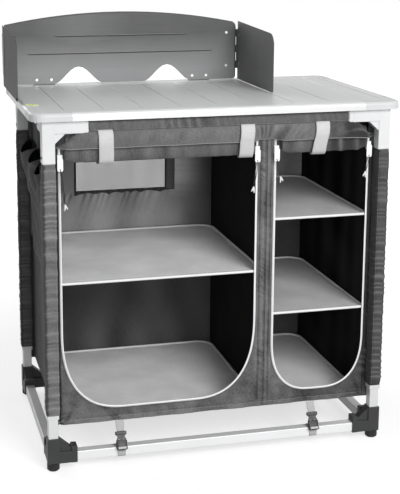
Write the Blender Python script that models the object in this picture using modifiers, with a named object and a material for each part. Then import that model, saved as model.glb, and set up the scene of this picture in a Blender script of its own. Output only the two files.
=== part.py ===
"""Camp kitchen unit: framed fabric cabinet with a slatted worktop and a three-part windshield.

Metres, +Z up, +X to the right, the front faces -Y. The floor is z = 0 and the legs are centred on
x = y = 0.
"""
import math

import bmesh
import bpy
from mathutils import Matrix, Vector

# Overall sizes
TABLE_WIDTH = 0.852
TABLE_DEPTH = 0.500
TABLE_HEIGHT = 0.820
TABLE_THICKNESS = 0.0187
OVERHANG_SIDE = 0.028
OVERHANG_END = 0.012
FIT = 0.0003

# Tubes of the frame
TUBE = 0.022
TUBE_WALL = 0.0012
TUBE_EDGE = 0.0015
STOP_RING_RISE = 0.0022
STOP_RING_HEIGHT = 0.009
SLEEVE_BOTTOM = 0.134

# Feet
FOOT_HEIGHT = 0.0175
FOOT_RADIUS = 0.0145
FOOT_CHAMFER = 0.003
PLUG_LENGTH = 0.016
PLUG_PLAY = 0.0004
FOOT_SIDES = 24

# Corners
BOTTOM_CORNER_WALL = 0.0027
BOTTOM_SOCKET_TOP = 0.078
BOTTOM_ARM = 0.065
BOTTOM_WEB = 0.025
BOTTOM_RIDGE = 0.011
TOP_CORNER_WALL = 0.0028
TOP_SOCKET_DROP = 0.112
TOP_ARM_X = 0.097
TOP_ARM_Y = 0.080
TOP_WEB = 0.022
ARM_BAND = 0.009
ARM_BAND_STEP = 0.0008
STOP_WALL = 0.0025

# Worktop
RIM_SIDE = 0.034
RIM_FRONT = 0.034
RIM_REAR = 0.052
RIM_NOSE = 0.008
RIM_LEDGE = 0.008
RIM_WALL = 0.005
RIM_SKIN = 0.0025
SLAT_THICKNESS = 0.012
SLAT_DROP = 0.0005
SLAT_SKIN = 0.0035
SLAT_RIB = 0.0030
SLAT_PITCH = 0.087
SLAT_LEAST = 0.020
GROOVE_WIDTH = 0.0025
GROOVE_DEPTH = 0.0012
CORNER_ARM = 0.090
CORNER_WIDTH = 0.022
CORNER_RADIUS = 0.030

# Fabric cabinet
CLOTH = 0.0015
SLEEVE_CLOTH = 0.0010
WALL_GAP = 0.0095
PANEL_BOTTOM = 0.098
FLOOR_RISE = 0.002
REAR_WALL_OUT = 0.0015
DOOR_DROP = 0.0046
DOOR_CURVE_POWER = 2.5
DOOR_CURVE_STEPS = 7
LEFT_DOOR_IN = 0.0066
RIGHT_DOOR_IN = 0.0074
DIVIDER_X = 0.11235
MIDDLE_STRIP = 0.0457
DOOR_SILL = 0.034
LEFT_CURVE = (0.145, 0.190)
RIGHT_CURVE = (0.100, 0.130)
BEAD_WIDTH = 0.0036
BEAD_RISE = 0.003
BEAD_DROP = 0.020
SEAM_DEPTH = 0.0062
BOARD = 0.005
LEFT_SHELF_Z = 0.431
RIGHT_SHELVES_Z = (0.325, 0.552)
WINDOW_IN = 0.115
WINDOW_WIDTH = 0.238
WINDOW_DROP = 0.120
WINDOW_HEIGHT = 0.162
NET_THICKNESS = 0.0006
NET_STRAND = 0.0028
NET_COUNTS = (16, 11)

# Rolled doors
ROLL_HEIGHT = 0.066
ROLL_DEPTH = 0.036
ROLL_TOP_GAP = 0.0007
ROLL_END_GAP = 0.009
ROLL_TAPER = 0.014
ROLL_PROUD = 0.0054
WEBBING = 0.0012
WEBBING_WIDTH = 0.030
LEFT_LOOPS_IN = (0.0972, 0.0295)
RIGHT_LOOP_IN = 0.0998
ROLL_SIDES = 24

# Zip sliders
SLIDER = (0.0116, 0.0068, 0.018)
SLIDER_DROP = 0.0265
SLIDER_PLAY = 0.0004
TAB = (0.0125, 0.0016, 0.029)
TAB_GAP = 0.0014
TAB_HOLE = 0.0016
TAB_CORNER = 0.003
SLIDER_EDGE = 0.0015

# Side organiser
POCKET_BULGE = 0.020
POCKET_END_GAP = 0.031
POCKET_DROP = 0.130
POCKET_HEIGHT = 0.290
POCKET_COUNT = 3
POCKET_DEPTH = 0.200
POCKET_WALL = 0.0018

# Tension straps with side-release buckles
STRAP_X = (-0.231, 0.233)
STRAP_WIDTH = 0.018
BUCKLE_TILT = 28.5
BUCKLE_WIDTH = 0.026
BUCKLE_THICKNESS = 0.0078
FEMALE_BELOW = 0.009
FEMALE_ABOVE = 0.0155
MALE_LENGTH = 0.018
PRONG_LENGTH = 0.0145
SOCKET_WALL = 0.0015
BUCKLE_EDGE = 0.0018
BAR_HEIGHT = 0.008
PRONG_WIDTH = 0.0035
GUIDE_HALF = 0.002

# Windshield
SHEET = 0.001
SHIELD_IN = 0.0305
SHIELD_GAP = 0.0015
SHIELD_END_HEIGHT = 0.150
SHIELD_APEX_RISE = 0.029
SHIELD_CORNER = 0.016
HINGE_OUT = 0.0047
SHIELD_SPAN = 0.6062
LEFT_WING = 0.2975
RIGHT_WING = 0.2885
WING_FRONT_DROP = 0.010
WING_CORNER = 0.030
BELL_WIDTH = 0.119
BELL_HEIGHT = 0.042
BELLS_IN = (0.1892, 0.4187)
PRESSED_BEADS = ((0.1256, 0.4685, 0.1185), (0.0555, 0.5376, 0.0750))
PRESSED_WIDTH = 0.005
PRESSED_DEPTH = 0.0005
HINGE_RISE = (0.0275, 0.1285)
HINGE_OFFSET = 0.001
KNUCKLES = 5
KNUCKLE_RADIUS = 0.0024
PIN_RADIUS = 0.0011
PIN_PLAY = 0.0002
LEAF = 0.0008
LEAF_WIDTH = 0.036
SHEET_SETBACK = 0.0035
RIVET_RADIUS = 0.0016
RIVET_HEAD = 0.0034
RIVET_RISE = 0.0006
PANEL_RIVETS_RISE = (0.0350, 0.1205)
PANEL_RIVET_IN = 0.029
WING_RIVETS_RISE = (0.0405, 0.1150)
WING_RIVET_IN = 0.018
BRACKETS_IN = (0.1011, 0.5048)
BRACKET_WIDTH = 0.055
BRACKET_HEIGHT = 0.024
BRACKET_FOOT = 0.0065
BRACKET_SHEET = 0.0015
BRACKET_RIVETS = 0.037
BRACKET_RIVET_RISE = 0.0125
TONGUE_WIDTH = 0.030
TONGUE_DEPTH = 0.012

# Colours, roughness and metallic value
ALUMINIUM = ((0.78, 0.79, 0.80, 1.0), 0.35, 0.9)
TOP_METAL = ((0.52, 0.53, 0.54, 1.0), 0.42, 0.7)
WHITE_PLASTIC = ((0.82, 0.82, 0.82, 1.0), 0.45, 0.0)
PALE_PLASTIC = ((0.60, 0.61, 0.62, 1.0), 0.45, 0.0)
DARK_PLASTIC = ((0.055, 0.055, 0.058, 1.0), 0.5, 0.0)
BLACK_RUBBER = ((0.015, 0.015, 0.015, 1.0), 0.6, 0.0)
SHIELD_METAL = ((0.20, 0.205, 0.21, 1.0), 0.45, 0.3)
FABRIC = ((0.10, 0.10, 0.105, 1.0), 0.85, 0.0)
DARK_FABRIC = ((0.045, 0.045, 0.047, 1.0), 0.9, 0.0)
SHELF_FABRIC = ((0.36, 0.36, 0.365, 1.0), 0.8, 0.0)
PALE_WEBBING = ((0.62, 0.62, 0.63, 1.0), 0.8, 0.0)
BUCKLE_PLASTIC = ((0.08, 0.08, 0.083, 1.0), 0.4, 0.0)
SLIDER_PAINT = ((0.80, 0.80, 0.80, 1.0), 0.4, 0.0)

# Worked-out places
FRAME_WIDTH = TABLE_WIDTH - 2 * OVERHANG_SIDE
FRAME_DEPTH = TABLE_DEPTH - 2 * OVERHANG_END
LEG_X = FRAME_WIDTH / 2 - TUBE / 2
LEG_Y = FRAME_DEPTH / 2 - TUBE / 2
TABLE_UNDER = TABLE_HEIGHT - TABLE_THICKNESS
BOTTOM_HALF = TUBE / 2 + FIT + BOTTOM_CORNER_WALL
TOP_HALF = TUBE / 2 + FIT + TOP_CORNER_WALL
BOTTOM_RAIL_Z = FOOT_HEIGHT + FIT + BOTTOM_HALF
TOP_RAIL_Z = TABLE_UNDER - FIT - TOP_HALF
RAIL_HALF_X = LEG_X - TUBE / 2 - FIT - STOP_WALL - FIT
RAIL_HALF_Y = LEG_Y - TUBE / 2 - FIT - STOP_WALL - FIT
TOP_SOCKET_BOTTOM = TABLE_HEIGHT - TOP_SOCKET_DROP
SLEEVE_TOP = TOP_SOCKET_BOTTOM - FIT
SLEEVE_HALF = TUBE / 2 + FIT + SLEEVE_CLOTH
PANEL_FRONT = -LEG_Y + TOP_HALF + FIT
PANEL_BACK = PANEL_FRONT + CLOTH
CABINET_HALF_WIDTH = LEG_X - TUBE / 2 - WALL_GAP
WALL_INNER = CABINET_HALF_WIDTH - CLOTH
SHELL_FRONT = PANEL_BACK + FIT
REAR_WALL_Y = LEG_Y + REAR_WALL_OUT
REAR_INNER = REAR_WALL_Y - CLOTH
BAND_HALF = TUBE / 2 + FIT + SLEEVE_CLOTH
BAND_HALF_X = FRAME_WIDTH / 2 - TOP_ARM_X - FIT
LEFT_DOOR = (-CABINET_HALF_WIDTH + LEFT_DOOR_IN, DIVIDER_X - MIDDLE_STRIP / 2)
RIGHT_DOOR = (DIVIDER_X + MIDDLE_STRIP / 2, CABINET_HALF_WIDTH - RIGHT_DOOR_IN)
DOOR_BOTTOM = PANEL_BOTTOM + DOOR_SILL
DOOR_TOP = TOP_RAIL_Z - BAND_HALF - DOOR_DROP
BEAD_TOP = DOOR_TOP - BEAD_DROP
SLIDER_TOP = BEAD_TOP - SLIDER_DROP
LEFT_LOOPS = (LEFT_DOOR[0] + LEFT_LOOPS_IN[0], LEFT_DOOR[1] - LEFT_LOOPS_IN[1])
RIGHT_LOOPS = (RIGHT_DOOR[0] + RIGHT_LOOP_IN,)
ROLL_Y = PANEL_FRONT - ROLL_PROUD
FLOOR_Z = PANEL_BOTTOM + FLOOR_RISE
BOARD_FLOOR_TOP = FLOOR_Z + FIT + BOARD
WINDOW_X = (-CABINET_HALF_WIDTH + WINDOW_IN, -CABINET_HALF_WIDTH + WINDOW_IN + WINDOW_WIDTH)
WINDOW_Z = (TABLE_HEIGHT - WINDOW_DROP - WINDOW_HEIGHT, TABLE_HEIGHT - WINDOW_DROP)
POCKET_Y = (-LEG_Y + POCKET_END_GAP, LEG_Y - POCKET_END_GAP)
POCKET_Z = (TABLE_HEIGHT - POCKET_DROP - POCKET_HEIGHT, TABLE_HEIGHT - POCKET_DROP)
SLAT_TOP = TABLE_HEIGHT - SLAT_DROP
SLAT_X = TABLE_WIDTH / 2 - RIM_SIDE
GROOVES_EACH_SIDE = int((SLAT_X - SLAT_LEAST) / SLAT_PITCH)
SHIELD_Y = TABLE_DEPTH / 2 - SHIELD_IN
SHIELD_BOTTOM = TABLE_HEIGHT + SHIELD_GAP
HINGE_Y = SHIELD_Y - HINGE_OFFSET
HINGE_Z = tuple(SHIELD_BOTTOM + rise for rise in HINGE_RISE)
LEFT_HINGE_X = -TABLE_WIDTH / 2 - HINGE_OUT
RIGHT_HINGE_X = LEFT_HINGE_X + SHIELD_SPAN
BELL_X = tuple(LEFT_HINGE_X + place_in for place_in in BELLS_IN)
BRACKET_X = tuple(LEFT_HINGE_X + place_in for place_in in BRACKETS_IN)
PANEL_RIVETS_Z = tuple(SHIELD_BOTTOM + rise for rise in PANEL_RIVETS_RISE)
WING_RIVETS_Z = tuple(SHIELD_BOTTOM + rise for rise in WING_RIVETS_RISE)
BRACKET_RIVET_Z = TABLE_HEIGHT + BRACKET_RIVET_RISE

PARTS = None
HELPERS = None


def clear_scene():
    """Remove every object that the file holds."""
    for thing in list(bpy.data.objects):
        bpy.data.objects.remove(thing, do_unlink=True)


def new_collection(name):
    """Make a collection under the scene's own."""
    group = bpy.data.collections.new(name)
    bpy.context.scene.collection.children.link(group)
    return group


def place(name, mesh, matrix, group):
    """Make an object of a mesh at a matrix."""
    thing = bpy.data.objects.new(name, mesh)
    thing.matrix_world = matrix
    group.objects.link(thing)
    return thing


def finish(thing, look):
    """Give a part its own material."""
    colour, roughness, metallic = look
    paint = bpy.data.materials.new(thing.name)
    paint.use_nodes = True
    shader = paint.node_tree.nodes["Principled BSDF"]
    shader.inputs["Base Color"].default_value = colour
    shader.inputs["Roughness"].default_value = roughness
    shader.inputs["Metallic"].default_value = metallic
    paint.diffuse_color = colour
    thing.data.materials.clear()
    thing.data.materials.append(paint)
    return thing


def block(name, first, second, radius=0.0, along=None, segments=2, frame=Matrix.Identity(4), group=None):
    """A box between two corners, its edges along one axis, or all of them, rounded by radius."""
    low = Vector([min(a, b) for a, b in zip(first, second)])
    high = Vector([max(a, b) for a, b in zip(first, second)])
    shape = bmesh.new()
    bmesh.ops.create_cube(shape, size=1.0)
    bmesh.ops.scale(shape, vec=high - low, verts=shape.verts)
    if radius > 0.0:
        edges = list(shape.edges)
        if along is not None:
            edges = [e for e in edges if abs((e.verts[0].co - e.verts[1].co).normalized()[along]) > 0.9]
        bmesh.ops.bevel(shape, geom=edges, offset=radius, offset_type='OFFSET', segments=segments,
                        profile=0.5, affect='EDGES')
    mesh = bpy.data.meshes.new(name)
    shape.to_mesh(mesh)
    shape.free()
    return place(name, mesh, frame @ Matrix.Translation((low + high) / 2), group or PARTS)


def cylinder(name, radius, start, end, sides=16, group=None):
    """A cylinder between two points."""
    start, end = Vector(start), Vector(end)
    shape = bmesh.new()
    bmesh.ops.create_cone(shape, cap_ends=True, segments=sides, radius1=radius, radius2=radius,
                          depth=(end - start).length)
    mesh = bpy.data.meshes.new(name)
    shape.to_mesh(mesh)
    shape.free()
    turn = (end - start).to_track_quat('Z', 'Y').to_matrix().to_4x4()
    return place(name, mesh, Matrix.Translation((start + end) / 2) @ turn, group or PARTS)


SLANT = math.radians(23)
PLANES = {
    'X': Matrix(((0, 0, 1, 0), (1, 0, 0, 0), (0, 1, 0, 0), (0, 0, 0, 1))),
    'Y': Matrix(((1, 0, 0, 0), (0, 0, -1, 0), (0, 1, 0, 0), (0, 0, 0, 1))),
    'Z': Matrix.Identity(4),
}


def plate(name, outlines, axis, first, second, frame=Matrix.Identity(4), group=None):
    """A flat outline, with any holes, extruded along an axis from first to second.

    Outlines hold (y, z) points for axis X, (x, z) for axis Y and (x, y) for axis Z. The curve is drawn turned
    by SLANT and its object turned back, because the fill leaves open edges where corners lie level.
    """
    middle = (first + second) / 2
    slant = Matrix.Rotation(SLANT, 4, 'Z')
    curve = bpy.data.curves.new(name, 'CURVE')
    curve.dimensions = '2D'
    curve.fill_mode = 'BOTH'
    curve.extrude = abs(second - first) / 2
    for outline in outlines:
        spline = curve.splines.new('POLY')
        spline.points.add(len(outline) - 1)
        for point, (u, v) in zip(spline.points, outline):
            point.co = (slant @ Vector((u, v, 0.0))).to_4d()
        spline.use_cyclic_u = True
    offset = {'X': (middle, 0, 0), 'Y': (0, middle, 0), 'Z': (0, 0, middle)}[axis]
    drawn = bpy.data.objects.new(name + "_outline", curve)
    drawn.matrix_world = frame @ Matrix.Translation(offset) @ PLANES[axis] @ slant.inverted()
    HELPERS.objects.link(drawn)
    bpy.context.view_layer.update()
    mesh = bpy.data.meshes.new_from_object(drawn.evaluated_get(bpy.context.evaluated_depsgraph_get()))
    mesh.name = name
    shape = bmesh.new()
    shape.from_mesh(mesh)
    bmesh.ops.remove_doubles(shape, verts=shape.verts, dist=0.00001)
    bmesh.ops.recalc_face_normals(shape, faces=shape.faces)
    shape.to_mesh(mesh)
    shape.free()
    made = place(name, mesh, drawn.matrix_world.copy(), group or PARTS)
    bpy.data.objects.remove(drawn, do_unlink=True)
    return made


def combine(target, other, operation):
    """Add an exact Boolean of another object to a part."""
    for group in list(other.users_collection):
        group.objects.unlink(other)
    HELPERS.objects.link(other)
    other.hide_render = True
    other.display_type = 'WIRE'
    step = target.modifiers.new(other.name, 'BOOLEAN')
    step.operation = operation
    step.solver = 'EXACT'
    step.object = other
    return target


def cut(target, *others):
    """Take other objects out of a part."""
    for other in others:
        combine(target, other, 'DIFFERENCE')
    return target


def join(target, *others):
    """Unite other objects with a part."""
    for other in others:
        combine(target, other, 'UNION')
    return target


def turned(name, profile, matrix, sides):
    """A profile of (radius, height) points turned about Z and placed by a matrix."""
    mesh = bpy.data.meshes.new(name)
    points = [(radius, 0.0, height) for radius, height in profile]
    mesh.from_pydata(points, [(i, i + 1) for i in range(len(points) - 1)], [])
    thing = place(name, mesh, matrix, PARTS)
    turn = thing.modifiers.new("turn", 'SCREW')
    turn.steps = sides
    turn.render_steps = sides
    turn.use_merge_vertices = True
    turn.merge_threshold = 0.00001
    turn.use_normal_flip = True
    return thing


def hang_on(things, point, name):
    """Parent parts to an empty on their joint's axis."""
    empty = bpy.data.objects.new(name, None)
    empty.empty_display_size = 0.02
    empty.location = point
    PARTS.objects.link(empty)
    bpy.context.view_layer.update()
    for thing in things:
        thing.parent = empty
        thing.matrix_parent_inverse = empty.matrix_world.inverted()


def square_tube(name, first, second, along, ring=None):
    """A square tube with open ends, and a stop ring round it where ring gives its two heights."""
    tube = block(name, first, second, TUBE_EDGE, along)
    if ring:
        rise = STOP_RING_RISE
        low = [first[0] - rise, first[1] - rise, ring[0]]
        high = [second[0] + rise, second[1] + rise, ring[1]]
        join(tube, block(name + "_ring", low, high, TUBE_EDGE, along))
    inner_first = [a + TUBE_WALL for a in first]
    inner_second = [b - TUBE_WALL for b in second]
    inner_first[along] = first[along] - TUBE
    inner_second[along] = second[along] + TUBE
    cut(tube, block(name + "_bore", inner_first, inner_second))
    return finish(tube, ALUMINIUM)


def make_frame():
    """Legs, rails, corners and feet."""
    half = TUBE / 2
    ring = (SLEEVE_BOTTOM - FIT - STOP_RING_HEIGHT, SLEEVE_BOTTOM - FIT)
    for level, z in (("bottom", BOTTOM_RAIL_Z), ("top", TOP_RAIL_Z)):
        low, high = z - half, z + half
        for side, y in (("front", -LEG_Y), ("rear", LEG_Y)):
            square_tube(f"{level}_rail_{side}", (-RAIL_HALF_X, y - half, low),
                        (RAIL_HALF_X, y + half, high), 0)
        for side, x in (("left", -LEG_X), ("right", LEG_X)):
            square_tube(f"{level}_rail_{side}", (x - half, -RAIL_HALF_Y, low),
                        (x + half, RAIL_HALF_Y, high), 1)
    for end, sy in (("front", -1), ("rear", 1)):
        for side, sx in (("left", -1), ("right", 1)):
            x, y = sx * LEG_X, sy * LEG_Y
            square_tube(f"leg_{end}_{side}", (x - half, y - half, FOOT_HEIGHT + FIT),
                        (x + half, y + half, TABLE_UNDER - FIT), 2, ring)
            make_foot(f"foot_{end}_{side}", x, y)
            make_bottom_corner(f"bottom_corner_{end}_{side}", sx, sy)
            make_top_corner(f"top_corner_{end}_{side}", sx, sy)


def make_foot(name, x, y):
    """A round cap under the leg with a plug in its tube."""
    plug = TUBE / 2 - TUBE_WALL - PLUG_PLAY
    profile = [(0.0, 0.0), (FOOT_RADIUS - FOOT_CHAMFER, 0.0), (FOOT_RADIUS, FOOT_CHAMFER),
               (FOOT_RADIUS, FOOT_HEIGHT), (plug, FOOT_HEIGHT), (plug, FOOT_HEIGHT + PLUG_LENGTH),
               (0.0, FOOT_HEIGHT + PLUG_LENGTH)]
    finish(turned(name, profile, Matrix.Translation((x, y, 0.0)), FOOT_SIDES), BLACK_RUBBER)


def corner_bores(name, sx, sy, rail_z):
    """The square holes for the leg and the two rails."""
    x, y = sx * LEG_X, sy * LEG_Y
    half = TUBE / 2 + FIT
    far = 2 * TABLE_HEIGHT
    stop_x = sx * (RAIL_HALF_X + FIT)
    stop_y = sy * (RAIL_HALF_Y + FIT)
    leg = block(name + "_leg_bore", (x - half, y - half, -far), (x + half, y + half, far))
    rail_x = block(name + "_rail_x_bore", (stop_x, y - half, rail_z - half),
                   (stop_x - sx * FRAME_WIDTH / 3, y + half, rail_z + half))
    rail_y = block(name + "_rail_y_bore", (x - half, stop_y, rail_z - half),
                   (x + half, stop_y - sy * FRAME_DEPTH / 3, rail_z + half))
    return leg, rail_x, rail_y


def make_bottom_corner(name, sx, sy):
    """Dark three-way corner: leg socket, two rail arms, a ridge and a web above each arm."""
    x, y, half = sx * LEG_X, sy * LEG_Y, BOTTOM_HALF
    low, top = BOTTOM_RAIL_Z - half, BOTTOM_RAIL_Z + half
    ridge_top = top + BOTTOM_RIDGE
    end_x = sx * (FRAME_WIDTH / 2 - BOTTOM_ARM)
    end_y = sy * (FRAME_DEPTH / 2 - BOTTOM_ARM)
    inner_x, inner_y = x - sx * half, y - sy * half
    ridge, arm = half * 0.7, half - FIT
    web_low, web_end = top - TUBE_EDGE, ridge_top - TUBE_EDGE * 2
    socket_top = BOTTOM_SOCKET_TOP - TUBE_EDGE
    root_x, root_y = inner_x + sx * TUBE_EDGE, inner_y + sy * TUBE_EDGE
    body = block(name, (x - half, y - half, low), (x + half, y + half, BOTTOM_SOCKET_TOP), TUBE_EDGE)
    arm_x = block(name + "_arm_x", (x, y - arm, low + FIT),
                  (end_x + sx * ARM_BAND, y + arm, top - FIT), TUBE_EDGE)
    arm_y = block(name + "_arm_y", (x - arm, y, low + FIT),
                  (x + arm, end_y + sy * ARM_BAND, top - FIT), TUBE_EDGE)
    collar_x = block(name + "_collar_x", (end_x + sx * ARM_BAND * 1.5, y - half, low),
                     (end_x, y + half, ridge_top), TUBE_EDGE)
    collar_y = block(name + "_collar_y", (x - half, end_y + sy * ARM_BAND * 1.5, low),
                     (x + half, end_y, ridge_top), TUBE_EDGE)
    web_x = [(x, web_low), (x, socket_top), (root_x, socket_top), (inner_x - sx * BOTTOM_WEB, web_end),
             (end_x + sx * TUBE_EDGE, web_end), (end_x + sx * TUBE_EDGE, web_low)]
    web_y = [(y, web_low), (y, socket_top), (root_y, socket_top), (inner_y - sy * BOTTOM_WEB, web_end),
             (end_y + sy * TUBE_EDGE, web_end), (end_y + sy * TUBE_EDGE, web_low)]
    join(body, arm_x, arm_y, plate(name + "_web_x", [web_x], 'Y', y - ridge, y + ridge),
         plate(name + "_web_y", [web_y], 'X', x - ridge, x + ridge), collar_x, collar_y)
    cut(body, *corner_bores(name, sx, sy, BOTTOM_RAIL_Z))
    finish(body, DARK_PLASTIC)


def make_top_corner(name, sx, sy):
    """Light three-way corner under the worktop: leg socket, two rail arms and a web under each arm."""
    x, y, half = sx * LEG_X, sy * LEG_Y, TOP_HALF
    low, top = TOP_RAIL_Z - half, TOP_RAIL_Z + half
    end_x = sx * (FRAME_WIDTH / 2 - TOP_ARM_X)
    end_y = sy * (FRAME_DEPTH / 2 - TOP_ARM_Y)
    inner_x, inner_y = x - sx * half, y - sy * half
    thin, arm = half - ARM_BAND_STEP, half - FIT
    web = half - TUBE_EDGE * 1.4
    web_top, web_low = low + TUBE_EDGE * 2, low - TOP_WEB
    root_x, root_y = inner_x + sx * TUBE_EDGE, inner_y + sy * TUBE_EDGE
    body = block(name, (x - half, y - half, TOP_SOCKET_BOTTOM), (x + half, y + half, top), TUBE_EDGE)
    arm_x = block(name + "_arm_x", (x, y - arm, low + FIT),
                  (end_x + sx * ARM_BAND, y + arm, top - FIT), TUBE_EDGE)
    arm_y = block(name + "_arm_y", (x - arm, y, low + FIT),
                  (x + arm, end_y + sy * ARM_BAND, top - FIT), TUBE_EDGE)
    band_low, band_high = low + ARM_BAND_STEP, top - ARM_BAND_STEP
    band_x = block(name + "_band_x", (x, y - thin, band_low), (end_x, y + thin, band_high), TUBE_EDGE, 0)
    band_y = block(name + "_band_y", (x - thin, y, band_low), (x + thin, end_y, band_high), TUBE_EDGE, 1)
    web_x = [(x, web_top), (x, web_low), (root_x, web_low), (inner_x - sx * TOP_WEB, low),
             (inner_x - sx * TOP_WEB * 1.8, low + TUBE_EDGE), (inner_x - sx * TOP_WEB * 1.8, web_top)]
    web_y = [(y, web_top), (y, web_low), (root_y, web_low), (inner_y - sy * TOP_WEB, low),
             (inner_y - sy * TOP_WEB * 1.8, low + TUBE_EDGE), (inner_y - sy * TOP_WEB * 1.8, web_top)]
    join(body, arm_x, arm_y, band_x, band_y, plate(name + "_web_x", [web_x], 'Y', y - web, y + web),
         plate(name + "_web_y", [web_y], 'X', x - web, x + web))
    cut(body, *corner_bores(name, sx, sy, TOP_RAIL_Z))
    finish(body, WHITE_PLASTIC)


def round_edges(thing, chosen, radius, segments=3):
    """Round the edges of a mesh for which chosen(first, second) is true of their world end points."""
    shape = bmesh.new()
    shape.from_mesh(thing.data)
    world = thing.matrix_world
    flat = math.radians(1)
    bmesh.ops.dissolve_limit(shape, angle_limit=flat, verts=shape.verts, edges=shape.edges)
    sharp = [e for e in shape.edges if e.calc_face_angle() > flat]
    edges = [e for e in sharp if chosen(world @ e.verts[0].co, world @ e.verts[1].co)]
    bmesh.ops.bevel(shape, geom=edges, offset=radius, offset_type='OFFSET', segments=segments, profile=0.5,
                    affect='EDGES')
    shape.to_mesh(thing.data)
    shape.free()


def make_worktop():
    """Edge frame, plastic corners and the slatted panel."""
    half_x, half_y = TABLE_WIDTH / 2, TABLE_DEPTH / 2
    slat_x = SLAT_X
    slat_front, slat_rear = -half_y + RIM_FRONT, half_y - RIM_REAR
    arm, width = CORNER_ARM, CORNER_WIDTH
    near = 0.0001

    quarter = [(half_x, half_y - arm), (half_x - width, half_y - arm), (half_x - width, half_y - width),
               (half_x - arm, half_y - width), (half_x - arm, half_y)]
    outline = []
    for sx, sy, order in ((1, 1, 1), (-1, 1, -1), (-1, -1, 1), (1, -1, -1)):
        outline += [(sx * px, sy * py) for px, py in quarter[::order]]
    ledge = RIM_LEDGE
    hole = [(-slat_x + ledge, slat_front + ledge), (slat_x - ledge, slat_front + ledge),
            (slat_x - ledge, slat_rear - ledge), (-slat_x + ledge, slat_rear - ledge)]
    rim = plate("table_rim", [outline, hole], 'Z', TABLE_UNDER, TABLE_HEIGHT)

    def on_nose(a, b):
        high = min(a.z, b.z) > TABLE_HEIGHT - near
        side = min(abs(a.x), abs(b.x)) > half_x - near
        end = min(abs(a.y), abs(b.y)) > half_y - near
        return high and (side or end)

    round_edges(rim, on_nose, RIM_NOSE)
    seat = block("table_rim_seat", (-slat_x - FIT, slat_front - FIT, SLAT_TOP - SLAT_THICKNESS - FIT),
                 (slat_x + FIT, slat_rear + FIT, TABLE_HEIGHT + RIM_LEDGE))
    cut(rim, seat)
    skin = TABLE_HEIGHT - RIM_SKIN
    bar_x, bar_y = half_x - arm - RIM_WALL, half_y - arm - RIM_WALL
    bars = [("front", (-bar_x, -half_y + RIM_WALL), (bar_x, slat_front - RIM_SKIN)),
            ("rear", (-bar_x, slat_rear + RIM_SKIN), (bar_x, bracket_tongue_y()[0] - RIM_SKIN)),
            ("left", (-half_x + RIM_WALL, -bar_y), (-slat_x - RIM_SKIN, bar_y)),
            ("right", (half_x - RIM_WALL, -bar_y), (slat_x + RIM_SKIN, bar_y))]
    for name, first, second in bars:
        cut(rim, block(f"table_rim_hollow_{name}", (*first, TABLE_UNDER - RIM_LEDGE), (*second, skin)))
    for index, x in enumerate(BRACKET_X):
        tongue_y = bracket_tongue_y()
        cut(rim, block(f"table_rim_slot_{index}",
                       (x - TONGUE_WIDTH / 2 - FIT, tongue_y[0] - FIT, TABLE_HEIGHT - TONGUE_DEPTH - FIT),
                       (x + TONGUE_WIDTH / 2 + FIT, tongue_y[1] + FIT, TABLE_HEIGHT + RIM_LEDGE)))
    finish(rim, TOP_METAL)

    for end, sy in (("front", -1), ("rear", 1)):
        for side, sx in (("left", -1), ("right", 1)):
            make_table_corner(f"table_corner_{end}_{side}", sx, sy)

    slat_under, slat_hollow = SLAT_TOP - SLAT_THICKNESS, SLAT_TOP - SLAT_SKIN
    ribs = [-slat_x + SLAT_RIB / 2]
    ribs += [index * SLAT_PITCH for index in range(-GROOVES_EACH_SIDE, GROOVES_EACH_SIDE + 1)]
    ribs.append(slat_x - SLAT_RIB / 2)
    profile = [(-slat_x, slat_under)]
    for first, second in zip(ribs[:-1], ribs[1:]):
        start, end = first + SLAT_RIB / 2, second - SLAT_RIB / 2
        profile += [(start, slat_under), (start, slat_hollow), (end, slat_hollow), (end, slat_under)]
    profile += [(slat_x, slat_under), (slat_x, SLAT_TOP)]
    for index in range(GROOVES_EACH_SIDE, -GROOVES_EACH_SIDE - 1, -1):
        x = index * SLAT_PITCH
        profile += [(x + GROOVE_WIDTH / 2, SLAT_TOP), (x + GROOVE_WIDTH / 4, SLAT_TOP - GROOVE_DEPTH),
                    (x - GROOVE_WIDTH / 4, SLAT_TOP - GROOVE_DEPTH), (x - GROOVE_WIDTH / 2, SLAT_TOP)]
    profile.append((-slat_x, SLAT_TOP))
    finish(plate("table_slats", [profile], 'Y', slat_front, slat_rear), TOP_METAL)


def make_table_corner(name, sx, sy):
    """An L-shaped corner piece in the notch of the edge frame."""
    half_x, half_y = TABLE_WIDTH / 2, TABLE_DEPTH / 2
    arm, width, radius = CORNER_ARM - FIT, CORNER_WIDTH - FIT, CORNER_RADIUS
    steps = 6
    outline = [(half_x, half_y - arm), (half_x - width, half_y - arm), (half_x - width, half_y - width),
               (half_x - arm, half_y - width), (half_x - arm, half_y)]
    for step in range(steps + 1):
        angle = math.pi / 2 * (1 - step / steps)
        across, along = radius * math.cos(angle), radius * math.sin(angle)
        outline.append((half_x - radius + across, half_y - radius + along))
    outline = [(sx * px, sy * py) for px, py in outline]
    piece = plate(name, [outline], 'Z', TABLE_UNDER, TABLE_HEIGHT)
    inner_x, inner_y = half_x - width - FIT, half_y - width - FIT
    near = 0.0001

    def on_nose(a, b):
        high = min(a.z, b.z) > TABLE_HEIGHT - near
        middle = (a + b) / 2
        outside = abs(middle.x) > inner_x + width / 2 + near or abs(middle.y) > inner_y + width / 2 + near
        end_x, end_y = half_x - arm, half_y - arm
        runs_in = max(abs(abs(a.x) - end_x), abs(abs(b.x) - end_x)) < near
        runs_in = runs_in or max(abs(abs(a.y) - end_y), abs(abs(b.y) - end_y)) < near
        return high and outside and not runs_in

    round_edges(piece, on_nose, RIM_NOSE)
    finish(piece, PALE_PLASTIC)


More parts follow.
